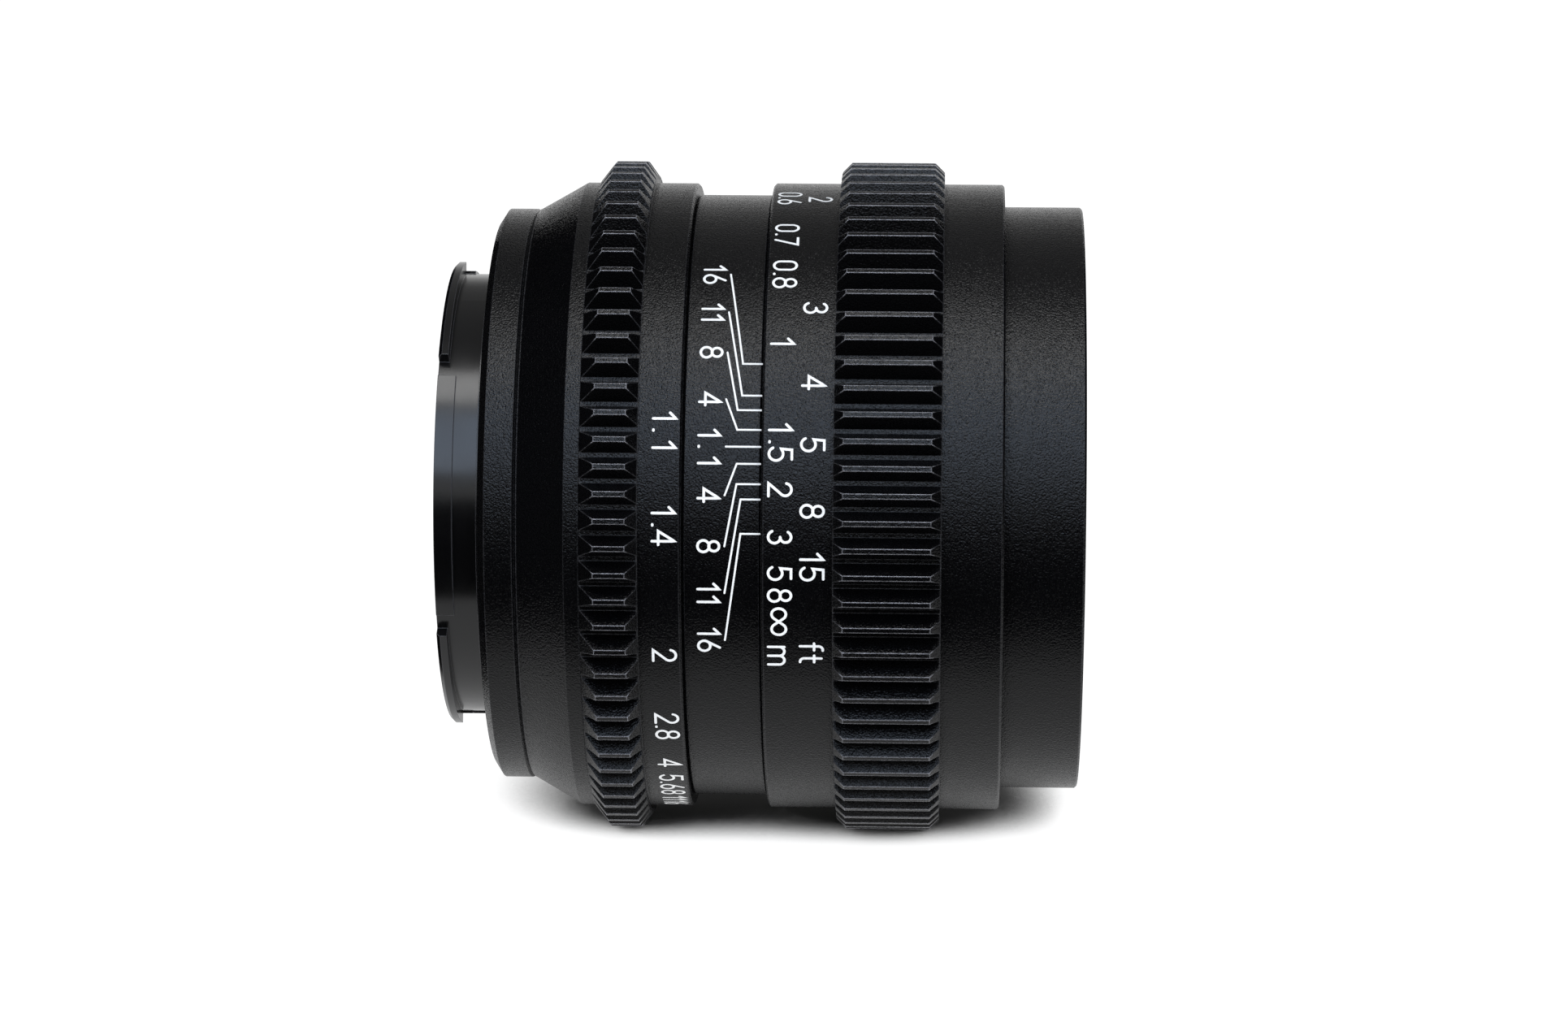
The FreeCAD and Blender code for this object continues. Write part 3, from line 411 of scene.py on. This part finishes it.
def new_piece(name, mesh, material, body):
    """Put a finished mesh in the scene, with its finish, on the body that carries it."""
    piece = bpy.data.objects.new(name, mesh)
    bpy.context.scene.collection.objects.link(piece)
    mesh.materials.clear()
    mesh.materials.append(material)
    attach(piece, body)
    return piece


def dress(material, *names):
    """Give CAD nodes their finish."""
    for name in names:
        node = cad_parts[name]
        for holder in node.material_slots:
            holder.material = material


def grown_mesh(name, tree, settings):
    """The plain mesh that a geometry tree makes from its named inputs."""
    holder = bpy.data.objects.new(name, bpy.data.meshes.new(name))
    bpy.context.scene.collection.objects.link(holder)
    modifier = holder.modifiers.new("growth", "NODES")
    modifier.node_group = tree
    for item in tree.interface.items_tree:
        if item.item_type == "SOCKET" and item.in_out == "INPUT" and item.name in settings:
            modifier[item.identifier] = settings[item.name]
    graph = bpy.context.evaluated_depsgraph_get()
    graph.update()
    mesh = bpy.data.meshes.new_from_object(holder.evaluated_get(graph))
    mesh.name = name
    bpy.data.objects.remove(holder)
    return mesh


def new_tree(name, inputs):
    """An empty geometry tree with named inputs, its input sockets and its output node."""
    tree = bpy.data.node_groups.new(name, "GeometryNodeTree")
    tree.interface.new_socket("Geometry", in_out="OUTPUT", socket_type="NodeSocketGeometry")
    for label, kind in inputs.items():
        tree.interface.new_socket(label, in_out="INPUT", socket_type=f"NodeSocket{kind}")
    given = tree.nodes.new("NodeGroupInput").outputs
    return tree, given, tree.nodes.new("NodeGroupOutput")


def close_tree(tree, output, geometry, material):
    """End a geometry tree with real geometry and its finish."""
    real = add(tree, "GeometryNodeRealizeInstances", {"Geometry": geometry}).outputs[0]
    done = add(tree, "GeometryNodeSetMaterial", {"Geometry": real, "Material": material}).outputs[0]
    tree.links.new(done, output.inputs[0])
    return tree


def thread_tree(material):
    """A ridge that climbs round the optical axis, as a thread cut inside a tube."""
    tree, given, output = new_tree("turned_thread", {
        "Radius": "Float", "Pitch": "Float", "Turns": "Float", "Start": "Float", "Depth": "Float",
    })
    spiral = add(tree, "GeometryNodeCurveSpiral", {
        "Resolution": 96, "Rotations": given["Turns"], "Start Radius": given["Radius"],
        "End Radius": given["Radius"], "Height": multiplied(tree, given["Pitch"], given["Turns"]),
    }).outputs[0]
    ridge = add(tree, "GeometryNodeCurvePrimitiveCircle", {
        "Resolution": 4, "Radius": given["Depth"],
    }).outputs[0]
    swept = add(tree, "GeometryNodeCurveToMesh", {
        "Curve": spiral, "Profile Curve": ridge, "Fill Caps": True,
    }).outputs[0]
    start = add(tree, "ShaderNodeCombineXYZ", {"X": given["Start"]}).outputs[0]
    placed = add(tree, "GeometryNodeTransform", {
        "Geometry": swept, "Translation": start, "Rotation": (0, math.pi / 2, 0),
    }).outputs[0]
    return close_tree(tree, output, placed, material)


def socket_tree(material):
    """Small six-sided dark plates at even turns round the optical axis, facing the mount: painted shade in
    place of the recessed sockets of the screws.
    """
    tree, given, output = new_tree("screw_sockets", {
        "Circle": "Float", "Count": "Int", "Turn": "Float", "Place": "Float", "Radius": "Float",
        "Depth": "Float",
    })
    places = add(tree, "GeometryNodeMeshCircle", {
        "Vertices": given["Count"], "Radius": given["Circle"],
    }).outputs[0]
    socket = add(tree, "GeometryNodeMeshCylinder", {
        "Vertices": 6, "Side Segments": 1, "Radius": given["Radius"], "Depth": given["Depth"],
    }).outputs["Mesh"]
    ring = add(tree, "GeometryNodeInstanceOnPoints", {"Points": places, "Instance": socket}).outputs[0]
    turn = add(tree, "ShaderNodeCombineXYZ", {"Z": given["Turn"]}).outputs[0]
    turned = add(tree, "GeometryNodeTransform", {"Geometry": ring, "Rotation": turn}).outputs[0]
    place = add(tree, "ShaderNodeCombineXYZ", {"X": given["Place"]}).outputs[0]
    laid = add(tree, "GeometryNodeTransform", {
        "Geometry": turned, "Translation": place, "Rotation": (0, math.pi / 2, 0),
    }).outputs[0]
    return close_tree(tree, output, laid, material)


# Figures, as the paths of an engraving cutter in a box as high as 1

def bow(across, up, wide, high, start, end):
    """Points of an arc, from one angle to another in degrees."""
    steps = round(abs(end - start) / 15)
    turns = [math.radians(start + (end - start) * i / steps) for i in range(steps + 1)]
    return [(across + wide * math.cos(t), up + high * math.sin(t)) for t in turns]


def closed(points):
    """The same path, ended where it starts."""
    return points + points[:1]


FIGURES = {
    "0": (0.54, [closed(bow(0.27, 0.72, 0.27, 0.28, 0, 180) + bow(0.27, 0.28, 0.27, 0.28, 180, 360))]),
    "1": (0.26, [[(0, 0.74), (0.26, 1), (0.26, 0)]]),
    "2": (0.54, [bow(0.27, 0.73, 0.27, 0.27, 170, -32) + [(0, 0), (0.56, 0)]]),
    "3": (0.54, [bow(0.27, 0.76, 0.24, 0.24, 155, -90), bow(0.27, 0.27, 0.27, 0.27, 82, -160)]),
    "4": (0.6, [[(0.44, 0), (0.44, 1), (0, 0.28), (0.6, 0.28)]]),
    "5": (0.54, [[(0.5, 1), (0.08, 1), (0.04, 0.54)] + bow(0.26, 0.31, 0.29, 0.31, 125, -155)]),
    "6": (0.54, [bow(0.27, 0.28, 0.27, 0.28, 0, 360), [(0.36, 1), (0.03, 0.4)]]),
    "7": (0.52, [[(0, 1), (0.52, 1), (0.16, 0)]]),
    "8": (0.54, [bow(0.27, 0.76, 0.23, 0.24, 0, 360), bow(0.27, 0.27, 0.27, 0.27, 0, 360)]),
    ".": (0.04, [[(0.0, 0.02), (0.04, 0.02)]]),
    " ": (0, []),
    "m": (0.86, [[(0, 0.68), (0, 0)], [(0, 0.4)] + bow(0.215, 0.46, 0.215, 0.22, 180, 0) + [(0.43, 0)],
                 [(0.43, 0.4)] + bow(0.645, 0.46, 0.215, 0.22, 180, 0) + [(0.86, 0)]]),
    "f": (0.36, [bow(0.32, 0.82, 0.18, 0.18, 80, 180) + [(0.14, 0)], [(0, 0.62), (0.34, 0.62)]]),
    "t": (0.36, [[(0.14, 0.94)] + bow(0.32, 0.18, 0.18, 0.18, 180, 275), [(0, 0.62), (0.34, 0.62)]]),
    "infinity": (1.2, [closed(bow(0.26, 0.32, 0.26, 0.3, 40, 320) + bow(0.94, 0.32, 0.26, 0.3, 140, -140))]),
}
# Room between two letters, as a share of their height
SPACE = 0.25
WIDE_SPACE = 0.37
# Longest straight run of a cutter path, so that the path bends with the ring
RUN = 0.3 * MM
# Points of a path that are nearer than this count as one
SAME = 0.001 * MM
# A path whose ends are nearer than this is closed
CLOSED = 0.02 * MM
# Corners of a ribbon that are nearer than this are joined
WELD = 0.0001 * MM
# Straight sides of a path's round end
ROUND_END = 5
# Drop from one stroke of a word to the next, so that no two faces share a place
DROP = 0.001 * MM


def along(points, step):
    """The same path with points no further apart than the step."""
    path = [points[0]]
    for (ua, va), (ub, vb) in zip(points, points[1:]):
        count = max(1, math.ceil(math.hypot(ub - ua, vb - va) / step))
        path += [(ua + (ub - ua) * i / count, va + (vb - va) * i / count) for i in range(1, count + 1)]
    return path


def cut(mesh, points, width, top, bottom):
    """Add a closed ribbon along a flat path, with round ends unless the path closes."""
    path = [Vector(p) for p in along(points, RUN)]
    path = [p for i, p in enumerate(path) if i == 0 or (p - path[i - 1]).length > SAME]
    ring = (path[0] - path[-1]).length < CLOSED
    if ring:
        path.pop()
    half = width / 2
    count = len(path)
    sides = []
    for i, here in enumerate(path):
        before = path[i - 1] if ring or i else path[0]
        after = path[(i + 1) % count] if ring or i < count - 1 else path[-1]
        arriving = (here - before).normalized() if (here - before).length else (after - here).normalized()
        leaving = (after - here).normalized() if (after - here).length else arriving
        across = arriving + leaving
        across = Vector((-across.y, across.x)).normalized()
        spread = half / max(0.5, across.dot(Vector((-leaving.y, leaving.x))))
        sides.append((here + across * spread, here - across * spread))
    rim = [s[0] for s in sides]
    other = [s[1] for s in sides]
    bands = [(i, (i + 1) % count) for i in range(count if ring else count - 1)]
    faces = [[rim[a], rim[b], other[b], other[a]] for a, b in bands]
    if not ring:
        for centre, side, near in ((path[0], rim[0], other[0]), (path[-1], other[-1], rim[-1])):
            start = math.atan2((side - centre).y, (side - centre).x)
            turns = [start + math.pi * k / ROUND_END for k in range(1, ROUND_END)]
            fan = [centre + half * Vector((math.cos(turn), math.sin(turn))) for turn in turns]
            faces.append([side, *fan, near])
    flat = bmesh.new()
    for corners in faces:
        flat.faces.new([flat.verts.new((*c, top)) for c in corners])
    bmesh.ops.remove_doubles(flat, verts=flat.verts, dist=WELD)
    raised = bmesh.ops.extrude_face_region(flat, geom=list(flat.faces))
    for item in raised["geom"]:
        if isinstance(item, bmesh.types.BMVert):
            item.co.z = bottom
    bmesh.ops.recalc_face_normals(flat, faces=flat.faces)
    if flat.calc_volume(signed=True) < 0:
        bmesh.ops.reverse_faces(flat, faces=flat.faces)
    piece = bpy.data.meshes.new("ribbon")
    flat.to_mesh(piece)
    flat.free()
    mesh.from_mesh(piece)
    bpy.data.meshes.remove(piece)


def word_paths(text, height, space=SPACE):
    """Cutter paths of a word, in metres, centred on its middle and standing on its foot."""
    letters = ["infinity"] if text == "infinity" else list(text)
    width = sum(FIGURES[c][0] for c in letters) + space * (len(letters) - 1)
    start = -width / 2
    paths = []
    for letter in letters:
        for stroke in FIGURES[letter][1]:
            paths.append([((start + u) * height, v * height) for u, v in stroke])
        start += FIGURES[letter][0] + space
    return paths


def engraved(name, body, radius, index, words, lines, material, sizes):
    """One piece with all the words and lines of a ring. A word is its text, its turn from the
    index in degrees, the place of its foot in millimetres, its height in metres and, if it isn't
    the usual one, its letter space. A line is its corners, each a turn in degrees and a place in
    millimetres."""
    mesh = bmesh.new()
    low = radius - sizes.depth
    high = radius + sizes.proud
    for text, turn, foot, tall, *space in words:
        inset = sizes.stroke / 2
        shift = math.radians(turn) * radius
        for level, path in enumerate(word_paths(text, tall - sizes.stroke, *space)):
            moved = [(u - shift, v + foot * MM + inset) for u, v in path]
            cut(mesh, moved, sizes.stroke, high - level * DROP, low)
    for corners in lines:
        moved = [(-math.radians(turn) * radius, place * MM) for turn, place in corners]
        cut(mesh, moved, sizes.line, high, low)
    for vert in mesh.verts:
        u, v, out = vert.co
        turn = index - u / radius
        vert.co = (v, -out * math.cos(turn), out * math.sin(turn))
    done = bpy.data.meshes.new(name)
    mesh.to_mesh(done)
    mesh.free()
    return new_piece(name, done, material, body)


# Operators

class LensOperator:
    """What every operator of the lens has in common"""
    bl_options = {"REGISTER", "UNDO"}


class LENS_OT_shells(LensOperator, bpy.types.Operator):
    """Give the rings and the barrel their bead-blasted anodising"""
    bl_idname = "lens.shells"
    bl_label = "Anodised shells"

    def execute(self, context):
        dress(anodised_aluminium(context.scene.lens_colours), "mount_collar", "rear_barrel",
              "aperture_ring", "scale_ring", "focus_ring", "front_barrel")
        return {"FINISHED"}


class LENS_OT_tubes(LensOperator, bpy.types.Operator):
    """Give the tubes and the iris rings inside the lens their turned anodising"""
    bl_idname = "lens.tubes"
    bl_label = "Inner tubes"

    def execute(self, context):
        dress(anodised_tube(context.scene.lens_colours), "guide_tube", "cam_sleeve", "lens_tube",
              "focus_retaining_ring", "iris_cam_ring", "iris_base_ring", "aperture_key")
        return {"FINISHED"}


class LENS_OT_mount(LensOperator, bpy.types.Operator):
    """Plate the bayonet"""
    bl_idname = "lens.mount"
    bl_label = "Bayonet mount"

    def execute(self, context):
        dress(plated_mount(context.scene.lens_colours), "bayonet_mount")
        return {"FINISHED"}


class LENS_OT_cells(LensOperator, bpy.types.Operator):
    """Paint the cells, their rings and the baffle matt black"""
    bl_idname = "lens.cells"
    bl_label = "Cells and baffle"

    def execute(self, context):
        dress(matt_paint(context.scene.lens_colours), "front_cell", "rear_cell", "front_spacer",
              "rear_baffle", "front_retaining_ring", "rear_retaining_ring")
        return {"FINISHED"}


class LENS_OT_glass(LensOperator, bpy.types.Operator):
    """Give the six elements their coated glass"""
    bl_idname = "lens.glass"
    bl_label = "Glass"

    def execute(self, context):
        colours = context.scene.lens_colours
        outer = coated_glass("optical_glass_outer_coat", colours.outer_coat)
        inner = coated_glass("optical_glass_inner_coat", colours.inner_coat)
        dress(outer, "front_element", "sixth_element")
        dress(inner, "second_element", "third_element", "fourth_element", "fifth_element")
        return {"FINISHED"}


class LENS_OT_iris(LensOperator, bpy.types.Operator):
    """Blacken the blades of the iris"""
    bl_idname = "lens.iris"
    bl_label = "Iris blades"

    def execute(self, context):
        blades = sorted(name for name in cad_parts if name.startswith("iris_blade_"))
        dress(spring_steel(context.scene.lens_colours), *blades)
        return {"FINISHED"}


class LENS_OT_fixings(LensOperator, bpy.types.Operator):
    """Finish the screws and rollers, and lay dark plates of painted shade for the sockets of the mount
    screws
    """
    bl_idname = "lens.fixings"
    bl_label = "Screws and rollers"

    def execute(self, context):
        colours = context.scene.lens_colours
        sizes = context.scene.lens_sockets
        dress(blackened_steel(colours), "mount_screws", "scale_ring_screws", "focus_grub_screws",
              "roller_screws", "aperture_key_screw")
        dress(turned_brass(colours), "guide_rollers")
        # Painted shade: the sockets are thin plates of matt black, not recesses
        socket = matt_paint(colours)
        # Laid upright, the tree's circle starts at the bottom, half a turn from the top
        mesh = grown_mesh("mount_screw_sockets", socket_tree(socket), {
            "Circle": sizes.circle, "Count": sizes.count, "Turn": sizes.turn + math.pi,
            "Place": sizes.place, "Radius": sizes.radius, "Depth": sizes.depth,
        })
        new_piece("mount_screw_sockets", mesh, socket, "housing")
        return {"FINISHED"}


class LENS_OT_filter_thread(LensOperator, bpy.types.Operator):
    """Cut the filter thread inside the front barrel"""
    bl_idname = "lens.filter_thread"
    bl_label = "Filter thread"

    def execute(self, context):
        sizes = context.scene.lens_threads
        material = matt_paint(context.scene.lens_colours)
        mesh = grown_mesh("filter_thread_ridge", thread_tree(material), {
            "Radius": sizes.radius, "Pitch": sizes.pitch, "Turns": sizes.turns, "Start": sizes.start,
            "Depth": sizes.depth,
        })
        new_piece("filter_thread_ridge", mesh, material, "optics")
        return {"FINISHED"}


class LENS_OT_focus_scale(LensOperator, bpy.types.Operator):
    """Engrave the distances in metres and feet on the focus ring"""
    bl_idname = "lens.focus_scale"
    bl_label = "Focus scale"

    def execute(self, context):
        sizes = context.scene.lens_engraving
        # Distances and their turns from the index at rest, in degrees
        metres = [("8", -26.3), ("5", -22.3), ("3", -15.9), ("2", -7.7), ("1 .5", 0.5), ("1", 19.1),
                  ("0.8", 33.9), ("0.7", 45), ("0.6", 60.2), ("0.5", 83.5)]
        feet = [("8", -11.4), ("5", 0.1), ("4", 11.2), ("3", 26.1), ("2", 59.4)]
        metre_foot = 28.03
        feet_foot = 31.05
        words = [(text, turn, metre_foot, sizes.figure) for text, turn in metres]
        words += [(text, turn, feet_foot, sizes.figure) for text, turn in feet]
        words += [
            ("15", -21.1, feet_foot, sizes.figure, WIDE_SPACE),
            ("infinity", -31.15, 28.3, sizes.infinity),
            ("m", -37.8, 28, sizes.infinity),
            ("ft", -37.2, 31, sizes.figure),
        ]
        engraved("focus_scale_figures", "focus_assembly", sizes.focus_ring, sizes.index, words, [],
                 engraving_paint(context.scene.lens_colours), sizes)
        return {"FINISHED"}


class LENS_OT_aperture_scale(LensOperator, bpy.types.Operator):
    """Engrave the apertures on the aperture ring"""
    bl_idname = "lens.aperture_scale"
    bl_label = "Aperture scale"

    def execute(self, context):
        sizes = context.scene.lens_engraving
        # Apertures and their turns from the index at rest, in degrees
        stops = [("1 . 1", 2.45), ("1 .4", -14.2), ("2", -38.0), ("2.8", -54.35), ("4", -65.3),
                 ("5.6", -73.2), ("8", -78.5), ("11", -82.9), ("16", -87.9)]
        foot = 17.13
        words = [(text, turn, foot, sizes.figure) for text, turn in stops]
        engraved("aperture_scale_figures", "aperture_assembly", sizes.aperture_ring, sizes.index, words, [],
                 engraving_paint(context.scene.lens_colours), sizes)
        return {"FINISHED"}


class LENS_OT_depth_scale(LensOperator, bpy.types.Operator):
    """Engrave the index and the depth of field on the fixed ring"""
    bl_idname = "lens.depth_scale"
    bl_label = "Depth-of-field scale"

    def execute(self, context):
        sizes = context.scene.lens_engraving
        foot = 21.35
        index_start = 24.05
        line_start = 24
        line_end = 27.3
        words = [("1 . 1", 0, foot, sizes.small_figure)]
        lines = [[(0, index_start), (0, line_end)]]
        # An aperture, the turn of its figure, the turn of its tick and where its line bends
        depths = [("4", 8.8, 3.1, 25.1), ("8", 18, 6.75, 25.1), ("11", 26.7, 9.5, 25.5),
                  ("16", 36, 15.7, 25.5)]
        for text, turn, tick, bend in depths:
            for side in (1, -1):
                words.append((text, side * turn, foot, sizes.small_figure, WIDE_SPACE))
                lines.append([(side * turn, line_start), (side * tick, bend), (side * tick, line_end)])
        engraved("depth_scale_figures", "housing", sizes.fixed_ring, sizes.index, words, lines,
                 engraving_paint(context.scene.lens_colours), sizes)
        return {"FINISHED"}


class LENS_OT_studio(LensOperator, bpy.types.Operator):
    """Lay the white paper, hang the softboxes and stand the camera"""
    bl_idname = "lens.studio"
    bl_label = "Studio"

    def execute(self, context):
        studio = context.scene.lens_studio
        lay_paper(studio)
        softbox("high_softbox", 64, 0.62, (0.6, 0.2), studio.key, "#ffffff")
        softbox("low_softbox", 35, 0.66, (0.5, 0.38), studio.fill, "#c9daf2")
        hang_cards()
        stand_camera(studio)
        light_world(context.scene)
        context.scene.view_settings.view_transform = "Standard"
        return {"FINISHED"}


def lay_paper(studio):
    """Lay a wide sheet of paper under the lens."""
    mesh = bmesh.new()
    floor = cad_box[0][2]
    half_width = 4
    bmesh.ops.create_grid(mesh, x_segments=8, y_segments=8, size=half_width)
    bmesh.ops.translate(mesh, verts=mesh.verts, vec=(0, 0, floor))
    done = bpy.data.meshes.new("paper_sweep")
    mesh.to_mesh(done)
    mesh.free()
    sweep = bpy.data.objects.new("paper_sweep", done)
    bpy.context.scene.collection.objects.link(sweep)
    done.materials.append(paper(studio))


def hang_cards():
    """Stand black cards before the lens and at both ends, as for any black product: they darken the
    middle of the rings and their bevels, and only reflections see them."""
    material, tree = new_material("card_matt_black")
    fibre = ranged(tree, noise(tree, 1.5, 2), 0.3, 0.7, 0.002, 0.004)
    finished(tree, add(tree, "ShaderNodeBsdfDiffuse", {"Color": fibre}).outputs[0])
    front, wall, low, high, wide = (place * MM for place in (-44, -420, -32.6, 45, 900))
    bend = [(x, y, z) for x in (-wide, wide) for y, z in ((front, low), (wall, low), (wall, high))]
    cards = {"front_card": (bend, [(0, 1, 4, 3), (1, 2, 5, 4)])}
    # Where each card stands along the axis, half its width and its height over the axis
    ends = {"mount_card": (-24, 90, 90), "mount_end_card": (-130, 400, 500),
            "barrel_end_card": (210, 400, 500)}
    for name, places in ends.items():
        x, deep, tall = (place * MM for place in places)
        cards[name] = ([(x, y, z) for y, z in ((-deep, low), (deep, low), (deep, tall), (-deep, tall))],
                       [(0, 1, 2, 3)])
    for name, (corners, faces) in cards.items():
        done = bpy.data.meshes.new(name)
        done.from_pydata(corners, [], faces)
        done.materials.append(material)
        card = bpy.data.objects.new(name, done)
        bpy.context.scene.collection.objects.link(card)
        card.visible_camera = False
        card.visible_diffuse = False
        card.visible_shadow = False
        card.visible_transmission = False


def softbox(name, elevation, distance, extent, power, code):
    """Hang a rectangular lamp over the camera's side, aimed at the middle of the lens. Its elevation
    is in degrees, its distance and extent in metres."""
    lamp = bpy.data.lights.new(name, "AREA")
    lamp.shape = "RECTANGLE"
    lamp.size, lamp.size_y = extent
    lamp.energy = power
    lamp.color = linear(code)
    holder = bpy.data.objects.new(name, lamp)
    bpy.context.scene.collection.objects.link(holder)
    turn = math.radians(elevation)
    middle = Vector((28 * MM, 0, 0))
    holder.location = middle + distance * Vector((0, -math.cos(turn), math.sin(turn)))
    holder.rotation_euler = (math.pi / 2 - turn, 0, 0)
    holder.visible_camera = False


def stand_camera(studio):
    """Stand the camera square to the optical axis, then turn, tip and lean it."""
    camera = bpy.data.cameras.new("camera")
    camera.lens = studio.focal
    camera.sensor_width = 36
    camera.sensor_fit = "HORIZONTAL"
    camera.clip_start = 0.01
    camera.clip_end = 20
    holder = bpy.data.objects.new("camera", camera)
    bpy.context.scene.collection.objects.link(holder)
    bpy.context.scene.camera = holder
    foot = Vector((studio.along, 0, 0))
    down = Matrix.Rotation(math.pi / 2 - studio.elevation, 4, "X")
    stand = Matrix.Translation(foot) @ down @ Matrix.Translation((0, 0, studio.distance))
    turn = Matrix.Rotation(studio.yaw, 4, "Y") @ Matrix.Rotation(-studio.pitch, 4, "X")
    holder.matrix_world = stand @ turn @ Matrix.Rotation(studio.roll, 4, "Z")


def light_world(scene):
    """A room whose walls are white at the height of the lens and whose ceiling is dim."""
    world = bpy.data.worlds.new("room")
    scene.world = world
    world.use_nodes = True
    tree = world.node_tree
    tree.nodes.clear()
    direction = add(tree, "ShaderNodeTexCoord").outputs["Generated"]
    up = add(tree, "ShaderNodeSeparateXYZ", {0: direction}).outputs["Z"]
    wall = ranged(tree, up, 0.15, 0.5, 1, 0.25)
    back = add(tree, "ShaderNodeBackground", {"Color": (1, 1, 1, 1), "Strength": wall}).outputs[0]
    add(tree, "ShaderNodeOutputWorld", {"Surface": back})


OPERATORS = (
    LENS_OT_shells, LENS_OT_tubes, LENS_OT_mount, LENS_OT_cells, LENS_OT_glass, LENS_OT_iris,
    LENS_OT_fixings, LENS_OT_filter_thread, LENS_OT_focus_scale, LENS_OT_aperture_scale,
    LENS_OT_depth_scale, LENS_OT_studio,
)


class LENS_PT_dressing(bpy.types.Panel):
    """Steps that dress the lens, in order"""
    bl_label = "Prime Lens"
    bl_space_type = "VIEW_3D"
    bl_region_type = "UI"
    bl_category = "Prime Lens"

    def draw(self, context):
        for operator in OPERATORS:
            self.layout.operator(operator.bl_idname)
        for name in GROUPS:
            group = getattr(context.scene, name)
            box = self.layout.box()
            for item in group.bl_rna.properties:
                if item.identifier not in ("name", "rna_type"):
                    box.prop(group, item.identifier)


GROUPS = {
    "lens_colours": LensColours,
    "lens_engraving": EngravingSizes,
    "lens_threads": ThreadSizes,
    "lens_sockets": SocketSizes,
    "lens_studio": StudioSizes,
}
CLASSES = (*GROUPS.values(), *OPERATORS, LENS_PT_dressing)


def register():
    for item in CLASSES:
        bpy.utils.register_class(item)
    for name, group in GROUPS.items():
        setattr(bpy.types.Scene, name, bpy.props.PointerProperty(type=group))


def unregister():
    for name in GROUPS:
        delattr(bpy.types.Scene, name)
    for item in reversed(CLASSES):
        bpy.utils.unregister_class(item)


def main():
    register()
    for operator in OPERATORS:
        family, step = operator.bl_idname.split(".")
        getattr(getattr(bpy.ops, family), step)()


if __name__ == "__main__":
    main()
